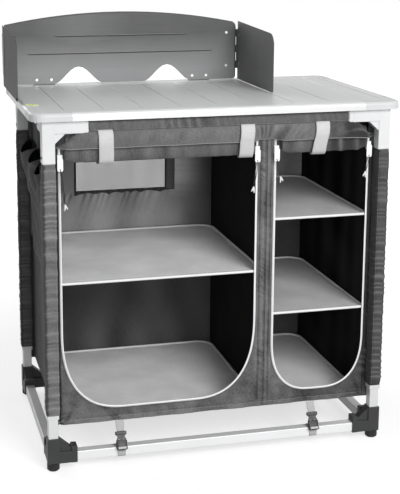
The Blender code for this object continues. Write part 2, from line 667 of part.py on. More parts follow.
def door_curve(door, curve, grow):
    """The U of a door opening from its top right round to its top left, grown outwards."""
    left, right = door[0] - grow, door[1] + grow
    low = DOOR_BOTTOM - grow
    wide, tall = min(curve[0], (door[1] - door[0]) / 2 - BEAD_WIDTH), curve[1]
    power = 2.0 / DOOR_CURVE_POWER
    points = []
    for step in range(DOOR_CURVE_STEPS + 1):
        angle = math.pi / 2 * step / DOOR_CURVE_STEPS
        across, down = wide * math.cos(angle) ** power, tall * math.sin(angle) ** power
        points.append((right - wide + across, low + tall - down))
    mirrored = [(left + right - px, pz) for px, pz in reversed(points)]
    return points + mirrored


def leg_sleeve(name, sx, sy):
    """A fabric tube round a leg."""
    x, y, half, bore = sx * LEG_X, sy * LEG_Y, SLEEVE_HALF, TUBE / 2 + FIT
    outer = block(name, (x - half, y - half, SLEEVE_BOTTOM), (x + half, y + half, SLEEVE_TOP), TUBE_EDGE, 2)
    inner = block(name + "_bore", (x - bore, y - bore, 0.0), (x + bore, y + bore, TABLE_HEIGHT))
    return outer, inner


def rail_band(name, y, rear):
    """A fabric tube round a top rail between the corners' arms, and the hole for the rail."""
    bore = TUBE / 2 + FIT
    outer = block(name, (-BAND_HALF_X, y - BAND_HALF, TOP_RAIL_Z - BAND_HALF),
                  (BAND_HALF_X, rear, TOP_RAIL_Z + BAND_HALF))
    inner = block(name + "_bore", (-FRAME_WIDTH, y - bore, TOP_RAIL_Z - bore),
                  (FRAME_WIDTH, y + bore, TOP_RAIL_Z + bore))
    return outer, inner


def make_cabinet_front():
    """The front panel with its two door openings, zip beads, band and front leg sleeves."""
    edge = CABINET_HALF_WIDTH
    top = TOP_RAIL_Z + BAND_HALF - CLOTH / 3
    outline = [(-edge, PANEL_BOTTOM), (edge, PANEL_BOTTOM), (edge, top), (-edge, top)]
    holes = []
    beads = []
    for name, door, curve in (("left", LEFT_DOOR, LEFT_CURVE), ("right", RIGHT_DOOR, RIGHT_CURVE)):
        inner = door_curve(door, curve, -BEAD_WIDTH / 2)
        outer = door_curve(door, curve, BEAD_WIDTH / 2)
        hole = door_curve(door, curve, -BEAD_WIDTH / 2 - CLOTH / 4)
        holes.append([(hole[0][0], DOOR_TOP)] + hole + [(hole[-1][0], DOOR_TOP)])
        ring = [(outer[0][0], BEAD_TOP)] + outer + [(outer[-1][0], BEAD_TOP), (inner[-1][0], BEAD_TOP)]
        ring += inner[::-1] + [(inner[0][0], BEAD_TOP)]
        beads.append(plate(f"zip_bead_{name}", [ring], 'Y', PANEL_FRONT - BEAD_RISE, PANEL_FRONT + CLOTH / 2))
    front = plate("cabinet_front", [outline] + holes, 'Y', PANEL_FRONT, PANEL_BACK)
    join(front, *beads)
    band, band_bore = rail_band("front_band", -LEG_Y, PANEL_BACK - CLOTH / 3)
    join(front, band)
    bores = [band_bore]
    for side, sx in (("left", -1), ("right", 1)):
        outer, inner = leg_sleeve(f"front_sleeve_{side}", sx, -1)
        seam_x = (sx * (LEG_X - TUBE / 2 - FIT - SLEEVE_CLOTH / 2), sx * (edge - CLOTH / 6))
        seam = block(f"front_seam_{side}", (seam_x[0], PANEL_FRONT + CLOTH / 2, SLEEVE_BOTTOM + CLOTH),
                     (seam_x[1], PANEL_FRONT - SEAM_DEPTH, SLEEVE_TOP - CLOTH))
        join(front, outer, seam)
        bores.append(inner)
    cut(front, *bores)
    finish(front, FABRIC)


def net_gaps():
    """The outlines of the net window's gaps, in even rows between the window's edges."""
    columns, rows = NET_COUNTS
    pitch_x = (WINDOW_X[1] - WINDOW_X[0] - NET_STRAND) / columns
    pitch_z = (WINDOW_Z[1] - WINDOW_Z[0] - NET_STRAND) / rows
    gaps = []
    for row in range(rows):
        low = WINDOW_Z[0] + NET_STRAND + row * pitch_z
        high = low + pitch_z - NET_STRAND
        for column in range(columns):
            left = WINDOW_X[0] + NET_STRAND + column * pitch_x
            right = left + pitch_x - NET_STRAND
            gaps.append([(left, low), (right, low), (right, high), (left, high)])
    return gaps


def make_cabinet_shell():
    """Side walls, rear wall with its net window, floor, rear band and rear leg sleeves."""
    edge, inner = CABINET_HALF_WIDTH, WALL_INNER
    wall_top = TOP_RAIL_Z - BAND_HALF
    rear_top = TOP_RAIL_Z + BAND_HALF - CLOTH / 2
    notch_x = BAND_HALF_X - FIT
    notch_z = TOP_RAIL_Z - TOP_HALF - TOP_WEB - FIT
    rear_edge, rear_low = edge - CLOTH / 3, PANEL_BOTTOM + CLOTH / 6
    outline = [(-rear_edge, rear_low), (rear_edge, rear_low), (rear_edge, notch_z), (notch_x, notch_z),
               (notch_x, rear_top), (-notch_x, rear_top), (-notch_x, notch_z), (-rear_edge, notch_z)]
    shell = plate("cabinet_shell", [outline] + net_gaps(), 'Y', REAR_INNER, REAR_WALL_Y)
    floor = block("shell_floor", (-edge + CLOTH / 2, SHELL_FRONT + FIT, FLOOR_Z - CLOTH * 0.8),
                  (edge - CLOTH / 2, REAR_WALL_Y - CLOTH / 2, FLOOR_Z))
    join(shell, floor)
    for side, sx in (("left", -1), ("right", 1)):
        far, step_y, step_z = REAR_WALL_Y - CLOTH / 3, LEG_Y - TOP_HALF - FIT, notch_z - CLOTH / 3
        side_outline = [(SHELL_FRONT, PANEL_BOTTOM), (far, PANEL_BOTTOM), (far, step_z), (step_y, step_z),
                        (step_y, wall_top), (SHELL_FRONT, wall_top)]
        wall = plate(f"shell_wall_{side}", [side_outline], 'X', sx * inner, sx * edge)
        flap_y = FRAME_DEPTH / 2 - TOP_ARM_Y - FIT
        flap = block(f"shell_flap_{side}", (sx * (inner + CLOTH / 3), -flap_y, wall_top - CLOTH),
                     (sx * (LEG_X + TUBE / 2), flap_y, wall_top - CLOTH / 3))
        join(shell, wall, flap)
    band, band_bore = rail_band("rear_band", LEG_Y, LEG_Y + BAND_HALF)
    join(shell, band)
    bores = [band_bore]
    for side, sx in (("left", -1), ("right", 1)):
        outer, bore = leg_sleeve(f"rear_sleeve_{side}", sx, 1)
        seam_x = (sx * (LEG_X - TUBE / 2 - FIT - SLEEVE_CLOTH / 2), sx * (edge - CLOTH / 2))
        seam = block(f"rear_seam_{side}", (seam_x[0], REAR_INNER + CLOTH / 4, SLEEVE_BOTTOM + CLOTH),
                     (seam_x[1], REAR_WALL_Y - CLOTH / 4, SLEEVE_TOP - CLOTH))
        join(shell, outer, seam)
        bores.append(bore)
    recess = block("window_recess", (WINDOW_X[0], REAR_INNER - CLOTH, WINDOW_Z[0]),
                   (WINDOW_X[1], REAR_WALL_Y - NET_THICKNESS, WINDOW_Z[1]))
    cut(shell, *bores, recess)
    finish(shell, DARK_FABRIC)


def make_inside():
    """Divider, shelves and floor boards."""
    left = (-WALL_INNER + FIT, DIVIDER_X - CLOTH / 2 - FIT)
    right = (DIVIDER_X + CLOTH / 2 + FIT, WALL_INNER - FIT)
    depth = (SHELL_FRONT, REAR_INNER - FIT)
    wall_top = TOP_RAIL_Z - BAND_HALF - FIT
    finish(block("cabinet_divider", (DIVIDER_X - CLOTH / 2, depth[0], FLOOR_Z + FIT),
                 (DIVIDER_X + CLOTH / 2, depth[1], wall_top)), DARK_FABRIC)
    boards = [("floor_board_left", left, BOARD_FLOOR_TOP), ("floor_board_right", right, BOARD_FLOOR_TOP),
              ("shelf_left", left, LEFT_SHELF_Z), ("shelf_right_lower", right, RIGHT_SHELVES_Z[0]),
              ("shelf_right_upper", right, RIGHT_SHELVES_Z[1])]
    for name, span, top in boards:
        low, high = (span[0], depth[0], top - BOARD), (span[1], depth[1], top)
        finish(block(name, low, high, BOARD / 4, segments=1), SHELF_FABRIC)


def make_door_roll(name, door, loops):
    """A rolled-up door under the band, tapering at its ends, in its webbing loops."""
    start = door[0] + ROLL_END_GAP
    length = door[1] - ROLL_END_GAP - start
    top = DOOR_TOP - ROLL_TOP_GAP
    middle = top - ROLL_HEIGHT / 2
    half = ROLL_HEIGHT / 2
    profile = [(0.0, 0.0), (half * 0.6, 0.0), (half * 0.9, ROLL_TAPER * 0.5), (half, ROLL_TAPER),
               (half, length - ROLL_TAPER), (half * 0.9, length - ROLL_TAPER * 0.5), (half * 0.6, length),
               (0.0, length)]
    squash = Matrix.Diagonal((1.0, ROLL_DEPTH / ROLL_HEIGHT, 1.0, 1.0))
    lie = Matrix.Translation((start, ROLL_Y, middle)) @ Matrix.Rotation(math.pi / 2, 4, 'Y') @ squash
    roll = turned(name, profile, lie, ROLL_SIDES)
    band_low = TOP_RAIL_Z - BAND_HALF
    for index, x in enumerate(loops):
        span = (x - WEBBING_WIDTH / 2, x + WEBBING_WIDTH / 2)
        outline = []
        for step in range(ROLL_SIDES):
            angle = 2 * math.pi * step / ROLL_SIDES
            y = ROLL_Y + (ROLL_DEPTH / 2 + WEBBING) * math.cos(angle)
            z = middle + (half + WEBBING) * math.sin(angle)
            outline.append((y, min(z, DOOR_TOP - ROLL_TOP_GAP / 2)))
        loop = plate(f"{name}_loop_{index}", [outline], 'X', *span)
        front = ROLL_Y - ROLL_DEPTH / 2 - WEBBING + FIT
        rise = block(f"{name}_rise_{index}", (span[0] + FIT, front, middle),
                     (span[1] - FIT, front + WEBBING, band_low - FIT))
        join(roll, loop, rise)
    finish(roll, FABRIC)


def make_side_pocket():
    """The organiser with open-topped pockets on the left wall."""
    outer = -CABINET_HALF_WIDTH - FIT - POCKET_BULGE
    inner = -CABINET_HALF_WIDTH - FIT
    pocket = block("side_pocket", (outer, POCKET_Y[0], POCKET_Z[0]), (inner, POCKET_Y[1], POCKET_Z[1]),
                   POCKET_BULGE / 4, 1)
    pitch = (POCKET_Y[1] - POCKET_Y[0]) / POCKET_COUNT
    for index in range(POCKET_COUNT):
        low = POCKET_Y[0] + index * pitch
        cut(pocket, block(f"pocket_{index}",
                          (outer + POCKET_WALL, low + POCKET_WALL, POCKET_Z[1] - POCKET_DEPTH),
                          (inner - POCKET_WALL, low + pitch - POCKET_WALL, POCKET_Z[1] + POCKET_BULGE)))
    finish(pocket, DARK_FABRIC)


def make_zip_slider(name, x):
    """A slider that clasps the zip bead, with a pull tab on its bridge."""
    wide, deep, tall = SLIDER
    back = PANEL_FRONT - SLIDER_PLAY
    front = back - deep
    bead_front = PANEL_FRONT - BEAD_RISE
    tab_back = front - TAB_GAP
    body = block(name, (x - wide / 2, front, SLIDER_TOP - tall), (x + wide / 2, back, SLIDER_TOP),
                 SLIDER_EDGE, 2)
    bridge_top = SLIDER_TOP - tall / 4
    tab_top = bridge_top - tall / 8
    bridge = block(name + "_bridge", (x - wide / 6, tab_back - TAB[1] / 2, bridge_top - tall / 3),
                   (x + wide / 6, front + SLIDER_PLAY, bridge_top))
    tab = block(name + "_tab", (x - TAB[0] / 2, tab_back - TAB[1], tab_top - TAB[2]),
                (x + TAB[0] / 2, tab_back, tab_top), TAB_CORNER, 1)
    join(body, tab, bridge)
    half = BEAD_WIDTH / 2 + SLIDER_PLAY
    groove = block(name + "_groove", (x - half, bead_front - SLIDER_PLAY, 0.0),
                   (x + half, back + deep, TABLE_HEIGHT))
    hole_z = tab_top - TAB[2] + TAB_HOLE * 2.5
    hole = cylinder(name + "_hole", TAB_HOLE, (x, tab_back - deep, hole_z), (x, front, hole_z), 12)
    cut(body, groove, hole)
    finish(body, SLIDER_PAINT)
    hang_on([body], (x, PANEL_FRONT, SLIDER_TOP), name + "_axis")


def make_tension_strap(side, x):
    """Webbing under the cabinet, male and female buckle halves, and the loop round the front rail."""
    rail_half = TUBE / 2 + FIT
    loop_half = rail_half + WEBBING
    edge_y, edge_z = -LEG_Y - loop_half, BOTTOM_RAIL_Z + loop_half
    tilt = math.radians(BUCKLE_TILT)
    frame = Matrix.Translation((x, edge_y, edge_z)) @ Matrix.Rotation(-tilt, 4, 'X')
    half_width = BUCKLE_WIDTH / 2
    back, front = WEBBING / 2, WEBBING / 2 - BUCKLE_THICKNESS
    centre = (back + front) / 2

    female = block(f"buckle_female_{side}", (-half_width, front, -FEMALE_BELOW),
                   (half_width, back, FEMALE_ABOVE), BUCKLE_EDGE, segments=2, frame=frame)
    hollow = half_width - SOCKET_WALL
    socket = block(f"buckle_socket_{side}",
                   (-hollow, front + SOCKET_WALL, FEMALE_ABOVE - PRONG_LENGTH - FIT),
                   (hollow, back - SOCKET_WALL, FEMALE_ABOVE + BUCKLE_THICKNESS), frame=frame)
    low, high = BOTTOM_RAIL_Z - loop_half, BOTTOM_RAIL_Z + loop_half
    loop = block(f"rail_loop_{side}", (x - STRAP_WIDTH / 2, -LEG_Y - loop_half, low),
                 (x + STRAP_WIDTH / 2, -LEG_Y + loop_half, high))
    low, high = BOTTOM_RAIL_Z - rail_half, BOTTOM_RAIL_Z + rail_half
    loop_bore = block(f"rail_loop_bore_{side}", (x - STRAP_WIDTH, -LEG_Y - rail_half, low),
                      (x + STRAP_WIDTH, -LEG_Y + rail_half, high))
    cut(female, socket)
    join(female, loop)
    cut(female, loop_bore)
    finish(female, BUCKLE_PLASTIC)

    low = FEMALE_ABOVE + FIT
    high = low + MALE_LENGTH
    arm = half_width - SOCKET_WALL - FIT * 2
    waist = half_width * 0.62
    shoulder = half_width - SOCKET_WALL / 2
    inner = arm - PRONG_WIDTH
    outline = [(shoulder, high - WEBBING), (shoulder, high - BAR_HEIGHT + TUBE_EDGE),
               (waist, low + MALE_LENGTH / 3), (arm, low), (arm, low - PRONG_LENGTH * 0.7),
               (inner, low - PRONG_LENGTH * 0.85), (inner, low), (GUIDE_HALF, low),
               (GUIDE_HALF, low - PRONG_LENGTH + FIT)]
    outline += [(-px, pz) for px, pz in reversed(outline)]
    grip = (BUCKLE_THICKNESS / 2 - SOCKET_WALL - FIT)
    male = plate(f"buckle_male_{side}", [outline], 'Y', centre - grip, centre + grip, frame=frame)
    bar = block(f"buckle_bar_{side}", (-half_width, front, high - BAR_HEIGHT), (half_width, back - FIT, high),
                WEBBING, segments=1, frame=frame)
    join(male, bar)
    finish(male, BUCKLE_PLASTIC)
    hang_on([male], (x, edge_y, edge_z), f"buckle_axis_{side}")

    hem = (PANEL_BOTTOM - FIT - edge_z) / math.cos(tilt) - WEBBING
    strap = block(f"strap_upper_{side}", (-STRAP_WIDTH / 2, centre - WEBBING / 2, high + FIT),
                  (STRAP_WIDTH / 2, centre + WEBBING / 2, hem), frame=frame)
    finish(strap, PALE_WEBBING)


def bracket_tongue_y():
    """The front and rear of a bracket's tongue."""
    rear = SHIELD_Y + SHEET / 2 + BRACKET_FOOT
    return rear - BRACKET_SHEET, rear


def rivet(name, side_point, axis, reach):
    """A rivet's head, which stands at side_point, and its shank, which runs by reach along the axis."""
    point = Vector(side_point)
    head = cylinder(name + "_head", RIVET_HEAD, point - axis * RIVET_RISE, point, 12)
    shank = cylinder(name + "_shank", RIVET_RADIUS, point - axis * RIVET_RISE / 2, point + axis * reach, 12)
    return head, shank


def make_windshield():
    """Rear panel, two folding wings with strip hinges, and two brackets."""
    left = LEFT_HINGE_X + SHEET_SETBACK
    right = RIGHT_HINGE_X - SHEET_SETBACK
    low, high = SHIELD_BOTTOM, SHIELD_BOTTOM + SHIELD_END_HEIGHT
    corner = SHIELD_CORNER
    outline = [(left, low)]
    bell_steps = 12
    for centre in BELL_X:
        for step in range(bell_steps + 1):
            part = step / bell_steps
            x = centre + BELL_WIDTH * (part - 0.5)
            outline.append((x, low + BELL_HEIGHT * (0.5 - 0.5 * math.cos(2 * math.pi * part)) ** 0.8))
    corner_steps = 4
    for step in range(corner_steps + 1):
        angle = -math.pi / 2 + math.pi / 2 * step / corner_steps
        across, up = corner / 2 * math.cos(angle), corner / 2 * math.sin(angle)
        outline.append((right - corner / 2 + across, low + corner / 2 + up))
    for step in range(corner_steps + 1):
        angle = math.pi / 2 * step / corner_steps
        across, up = corner * math.cos(angle), corner * math.sin(angle)
        outline.append((right - corner + across, high - corner + up))
    arch_steps = 16
    arch_right, arch_left = right - corner, left
    for step in range(1, arch_steps + 1):
        part = step / arch_steps
        x = arch_right + (arch_left - arch_right) * part
        outline.append((x, high + SHIELD_APEX_RISE * (1 - (2 * part - 1) ** 2)))
    front, back = SHIELD_Y - SHEET / 2, SHIELD_Y + SHEET / 2
    panel = plate("windshield_panel", [outline], 'Y', front, back)

    for index, (start_in, end_in, rise) in enumerate(PRESSED_BEADS):
        x0, x1, z = LEFT_HINGE_X + start_in, LEFT_HINGE_X + end_in, low + rise
        ridge = PRESSED_WIDTH / 2
        capsule = []
        for end, start_angle in ((x1, -math.pi / 2), (x0, math.pi / 2)):
            for step in range(5):
                angle = start_angle + math.pi * step / 4
                capsule.append((end + ridge * math.cos(angle), z + ridge * math.sin(angle)))
        join(panel, plate(f"bead_ridge_{index}", [capsule], 'Y', SHIELD_Y, back + PRESSED_DEPTH))
        cut(panel, plate(f"bead_groove_{index}", [capsule], 'Y', front - SHEET, front + PRESSED_DEPTH))

    hole = RIVET_RADIUS + FIT
    forward = Vector((0, 1, 0))
    near, far = front - SHEET, back + SHEET
    for side, s, axis_x, reach in (("left", -1, LEFT_HINGE_X, LEFT_WING),
                                   ("right", 1, RIGHT_HINGE_X, RIGHT_WING)):
        rivet_x = axis_x - s * PANEL_RIVET_IN
        for z in PANEL_RIVETS_Z:
            cut(panel, cylinder(f"panel_hole_{side}_{z}", hole, (rivet_x, near, z), (rivet_x, far, z), 12))
        make_wing(side, s, axis_x, reach)
    for index, x in enumerate(BRACKET_X):
        for sx in (-1, 1):
            rivet_x = x + sx * BRACKET_RIVETS / 2
            cut(panel, cylinder(f"bracket_hole_{index}_{sx}", hole, (rivet_x, near, BRACKET_RIVET_Z),
                                (rivet_x, far, BRACKET_RIVET_Z), 12))
        make_bracket(("left", "right")[index], x, front, back, forward)
    finish(panel, SHIELD_METAL)


def make_bracket(side, x, front, back, forward):
    """An angle behind the panel with two rivets and a tongue in the edge frame."""
    half = BRACKET_WIDTH / 2
    near = back + FIT
    base = TABLE_HEIGHT + FIT
    body = block(f"windshield_bracket_{side}", (x - half, near, base + BRACKET_SHEET / 3),
                 (x + half, near + BRACKET_SHEET, base + BRACKET_HEIGHT))
    foot = block(f"bracket_foot_{side}", (x - half + FIT, near + FIT, base),
                 (x + half - FIT, near + BRACKET_FOOT, base + BRACKET_SHEET))
    tongue_y = bracket_tongue_y()
    tongue = block(f"bracket_tongue_{side}", (x - TONGUE_WIDTH / 2, tongue_y[0], TABLE_HEIGHT - TONGUE_DEPTH),
                   (x + TONGUE_WIDTH / 2, tongue_y[1], base + BRACKET_SHEET / 2))
    join(body, foot, tongue)
    for sx in (-1, 1):
        point = (x + sx * BRACKET_RIVETS / 2, front, BRACKET_RIVET_Z)
        join(body, *rivet(f"bracket_rivet_{side}_{sx}", point, forward, SHEET + FIT + BRACKET_SHEET / 2))
    finish(body, SHIELD_METAL)


def make_wing(side, s, axis_x, reach):
    """A wing sheet and its strip hinge. s is -1 on the left and 1 on the right."""
    low, high = SHIELD_BOTTOM, SHIELD_BOTTOM + SHIELD_END_HEIGHT
    wing_x = axis_x + s * HINGE_OFFSET
    near_y, far_y = HINGE_Y - SHEET_SETBACK, HINGE_Y - reach
    outline = [(near_y, low), (near_y, high)]
    corner = WING_CORNER
    front_top = high - WING_FRONT_DROP
    steps = 5
    for step in range(steps + 1):
        angle = math.pi / 2 + math.pi / 2 * step / steps
        along, up = corner * math.cos(angle), corner * math.sin(angle)
        outline.append((far_y + corner + along, front_top - corner + up))
    toe = corner / 4
    for step in range(steps):
        angle = math.pi + math.pi / 2 * step / (steps - 1)
        along, up = toe * math.cos(angle), toe * math.sin(angle)
        outline.append((far_y + toe + along, low + toe + up))
    wing = plate(f"windshield_wing_{side}", [outline], 'X', wing_x - SHEET / 2, wing_x + SHEET / 2)
    rivet_y = HINGE_Y - WING_RIVET_IN
    for z in WING_RIVETS_Z:
        cut(wing, cylinder(f"wing_hole_{side}_{z}", RIVET_RADIUS + FIT, (wing_x - SHEET * 2, rivet_y, z),
                           (wing_x + SHEET * 2, rivet_y, z), 12))
    finish(wing, SHIELD_METAL)

    panel_leaf = (SHIELD_Y + SHEET / 2 + FIT, SHIELD_Y + SHEET / 2 + FIT + LEAF)
    wing_leaf = (wing_x + s * (SHEET / 2 + FIT), wing_x + s * (SHEET / 2 + FIT + LEAF))
    clear = KNUCKLE_RADIUS + FIT * 1.5
    fixed = block(f"hinge_leaf_panel_{side}", (axis_x - s * clear, panel_leaf[0], HINGE_Z[0]),
                  (axis_x - s * LEAF_WIDTH, panel_leaf[1], HINGE_Z[1]))
    moving = block(f"hinge_leaf_wing_{side}", (wing_leaf[0], HINGE_Y - clear, HINGE_Z[0]),
                   (wing_leaf[1], HINGE_Y - LEAF_WIDTH, HINGE_Z[1]))
    length = (HINGE_Z[1] - HINGE_Z[0]) / KNUCKLES
    for index in range(KNUCKLES):
        z0 = HINGE_Z[0] + index * length + (FIT / 2 if index else 0.0)
        z1 = HINGE_Z[0] + (index + 1) * length - (FIT / 2 if index < KNUCKLES - 1 else 0.0)
        knuckle = cylinder(f"knuckle_{side}_{index}", KNUCKLE_RADIUS, (axis_x, HINGE_Y, z0),
                           (axis_x, HINGE_Y, z1), 16)
        inset = LEAF / 8
        if index % 2 == 0:
            bar = block(f"knuckle_bar_{side}_{index}", (axis_x, panel_leaf[0] + inset, z0 + FIT),
                        (axis_x - s * clear * 1.5, panel_leaf[1] - inset, z1 - FIT))
            join(fixed, bar, knuckle)
        else:
            bar = block(f"knuckle_bar_{side}_{index}", (wing_leaf[0] + s * inset, HINGE_Y, z0 + FIT),
                        (wing_leaf[1] - s * inset, HINGE_Y - clear * 1.5, z1 - FIT))
            join(moving, bar, knuckle)
    pin = cylinder(f"hinge_pin_{side}", PIN_RADIUS, (axis_x, HINGE_Y, HINGE_Z[0] - SHEET / 2),
                   (axis_x, HINGE_Y, HINGE_Z[1] + SHEET / 2), 16)
    join(fixed, pin)
    cut(moving, cylinder(f"hinge_bore_{side}", PIN_RADIUS + PIN_PLAY, (axis_x, HINGE_Y, HINGE_Z[0] - SHEET),
                         (axis_x, HINGE_Y, HINGE_Z[1] + SHEET), 16))
    through = SHEET + FIT + LEAF / 2
    for index, z in enumerate(PANEL_RIVETS_Z):
        point = (axis_x - s * PANEL_RIVET_IN, SHIELD_Y - SHEET / 2, z)
        join(fixed, *rivet(f"panel_rivet_{side}_{index}", point, Vector((0, 1, 0)), through))
    for index, z in enumerate(WING_RIVETS_Z):
        point = (wing_x - s * SHEET / 2, rivet_y, z)
        join(moving, *rivet(f"wing_rivet_{side}_{index}", point, Vector((s, 0, 0)), through))
    finish(fixed, SHIELD_METAL)
    finish(moving, SHIELD_METAL)
    hang_on([wing, moving], (axis_x, HINGE_Y, SHIELD_BOTTOM), f"wing_axis_{side}")


clear_scene()
PARTS = new_collection("camp_kitchen_unit")
HELPERS = new_collection("cutters")
make_frame()
make_worktop()
make_cabinet_shell()
make_cabinet_front()
make_inside()
make_side_pocket()
make_door_roll("door_roll_left", LEFT_DOOR, LEFT_LOOPS)
make_door_roll("door_roll_right", RIGHT_DOOR, RIGHT_LOOPS)
for slider_name, slider_x in (("zip_slider_1", LEFT_DOOR[0]), ("zip_slider_2", LEFT_DOOR[1]),
                              ("zip_slider_3", RIGHT_DOOR[0]), ("zip_slider_4", RIGHT_DOOR[1])):
    make_zip_slider(slider_name, slider_x)
make_tension_strap("left", STRAP_X[0])
make_tension_strap("right", STRAP_X[1])
make_windshield()
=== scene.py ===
"""Camp kitchen unit: the cloth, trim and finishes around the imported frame, its studio and its camera.

Metres, +Z up, +X to the right, the front faces -Y, as in the frame.
"""
import math

import bmesh
import bpy
import numpy as np
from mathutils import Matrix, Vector


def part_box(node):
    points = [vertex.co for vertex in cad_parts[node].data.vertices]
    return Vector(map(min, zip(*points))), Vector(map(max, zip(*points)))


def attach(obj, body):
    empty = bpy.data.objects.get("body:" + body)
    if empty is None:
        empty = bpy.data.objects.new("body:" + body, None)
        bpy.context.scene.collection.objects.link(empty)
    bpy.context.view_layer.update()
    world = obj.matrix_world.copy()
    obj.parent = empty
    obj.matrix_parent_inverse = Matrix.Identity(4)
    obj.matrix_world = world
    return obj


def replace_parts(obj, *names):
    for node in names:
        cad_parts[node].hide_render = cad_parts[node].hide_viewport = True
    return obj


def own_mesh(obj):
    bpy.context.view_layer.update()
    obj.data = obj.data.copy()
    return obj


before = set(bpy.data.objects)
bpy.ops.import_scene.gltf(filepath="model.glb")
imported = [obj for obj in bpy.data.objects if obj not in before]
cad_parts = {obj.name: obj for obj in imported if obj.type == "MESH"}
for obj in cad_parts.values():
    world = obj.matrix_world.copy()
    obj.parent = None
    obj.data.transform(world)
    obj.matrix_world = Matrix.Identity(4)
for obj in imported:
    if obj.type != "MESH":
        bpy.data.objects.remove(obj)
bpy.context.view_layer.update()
TAU = 2 * math.pi
ROUND = (False, True)
FORWARD, UP = np.array([0.0, -1.0, 0.0]), np.array([0.0, 0.0, 1.0])

# Camera: the photograph's viewing angle
PICTURE = (400, 494)
CAMERA_AT = (-0.7311, -2.6548, 1.2000)
CAMERA_YAW = 13.487
CAMERA_PITCH = 10.881
CAMERA_PIXELS = 1156.0
CAMERA_SHIFT = (0.09, -0.19)
SENSOR = 36.0

# Places taken from the frame
LEG_X, LEG_Y = 0.387, 0.227
RAIL_Z, RAIL_LOW_Z = 0.7869, 0.0318
PANEL_Y, PANEL_LOW, PANEL_TOP, PANEL_HALF = -0.2119, 0.098, 0.7765, 0.3835
SEAM_X, HEM_Z = 0.1085, 0.1085
WALL_X, WALL_REAR, WALL_LOW = 0.3658, 0.2278, 0.0985
DIVIDER_X = 0.11235
SLEEVE_LOW, SLEEVE_HIGH = 0.1342, 0.7073
DOORS = {"left": (-0.3599, 0.0895, 0.145, 0.190), "right": (0.1352, 0.3591, 0.100, 0.130)}
DOOR_LOW, DOOR_POWER, ZIP_TOP = 0.132, 2.5, 0.742
WINDOW_X, WINDOW_Z = (-0.2515, -0.0135), (0.538, 0.700)
ROLL_Y, ROLL_Z = -0.218, 0.7363
ORGANISER_X = -0.3681
STRAPS = {"left": -0.231, "right": 0.233}
STRAP_FOOT, TILT = (-0.2395, 0.0443), math.radians(28.5)

# Sizes of the pieces
FRONT_WALL, CLOTH_WALL, LIGHT_WALL, THIN_WALL = 0.0009, 0.0008, 0.0007, 0.0006
WEBBING_WALL, STRAP_WALL, RAIL_LOOP_WALL = 0.0011, 0.0012, 0.0010
STITCH, TACK, STRAP_TACK, ZIP_STITCH = 0.0036, 0.0022, 0.0020, 0.0034
ZIP_PITCH, ZIP_STEPS = 0.0021, 4
BAND_HALF, BAND_END = 0.0131, 0.2998
HEADER_X, HEADER_TOP, HEADER_LOW = (-0.3680, 0.3700), 0.7764, 0.7385
LOOP_HALF, LOOPS = 0.0165, (-0.2627, 0.0600, 0.2350)
ROLL_DEEP, ROLL_HIGH, ROLL_TURNS, ROLL_INSET = 0.0162, 0.0310, 7.25, 0.0095
SLEEVE_HALF, SLEEVE_SEAM = 0.0152, 0.0112
NET_PITCH, NET_HALF, NET_THICK = 0.00264, 0.00067, 0.00022
BOARD_CORNERS = (0.006, 0.040, 0.040, 0.006)
COVER_INSET, PIPING_INSET, BOARD_SEAM_INSET, PIPING_RADIUS = 0.0042, 0.0030, 0.0100, 0.0024
POCKETS_LOW, POCKETS_MOUTH, POCKET_WIDTH, POCKETS_HALF = 0.403, 0.687, 0.130, 0.195
HEM_STRAP_HALF, STRAP_HALF, STRAP_DEPTH, HEM_STRAP_END = 0.0095, 0.0093, -0.0033, 0.0592
BUCKLE_HALF, BUCKLE_THICK, BUCKLE_TALL = 0.0128, 0.0040, 0.01215


# Surfaces

def net(*parts):
    """Points whose coordinates are arrays or numbers, spread over one another's shape."""
    return np.stack(np.broadcast_arrays(*parts), -1)


def column(first, last, count):
    """Evenly spaced values, one for each row of a net."""
    return np.linspace(first, last, count)[:, None]


def turns(count):
    """Directions evenly round a circle."""
    return np.linspace(0, TAU, count, endpoint=False)


def unit(vectors):
    """The vectors at length 1."""
    return vectors / np.maximum(np.linalg.norm(vectors, axis=1), 1e-9)[:, None]


def run_along(line):
    """The distance run along a line at each of its points."""
    return np.concatenate([[0.0], np.cumsum(np.linalg.norm(np.diff(line, axis=0), axis=1))])


def sample(line, at):
    """Points of a line at distances along it."""
    run = run_along(line)
    return np.stack([np.interp(at, run, line[:, k]) for k in range(line.shape[1])], -1)


def outwards(mesh, weld=False):
    """Turn a closed mesh's faces outwards; weld first merges the points of its poles."""
    shape = bmesh.new()
    shape.from_mesh(mesh)
    if weld:
        bmesh.ops.remove_doubles(shape, verts=shape.verts, dist=1e-6)
        bmesh.ops.dissolve_degenerate(shape, dist=1e-7, edges=shape.edges)
    bmesh.ops.recalc_face_normals(shape, faces=shape.faces)
    shape.to_mesh(mesh)
    shape.free()


def grid_faces(rows, columns, closed=(False, False)):
    """Row and column numbers of the four corners of each face of a net."""
    r, c = np.meshgrid(np.arange(rows - (not closed[0])), np.arange(columns - (not closed[1])), indexing="ij")
    return tuple(np.stack(four, -1).reshape(-1, 4) for four in ((r, r + 1, r + 1, r), (c, c, c + 1, c + 1)))


def mesh_piece(name, mesh, look, wall=0.0, lining=None):
    """An object of a mesh in the scene, with its finish and, for an open cloth, its thickness."""
    mesh.polygons.foreach_set("use_smooth", np.full(len(mesh.polygons), True))
    thing = bpy.data.objects.new(name, mesh)
    bpy.context.scene.collection.objects.link(thing)
    mesh.materials.append(look)
    if lining:
        mesh.materials.append(lining)
    if wall:
        step = thing.modifiers.new("wall", "SOLIDIFY")
        step.thickness = wall
        step.offset = 0.0
        step.use_even_offset = True
        step.material_offset = 1 if lining else 0
    return thing


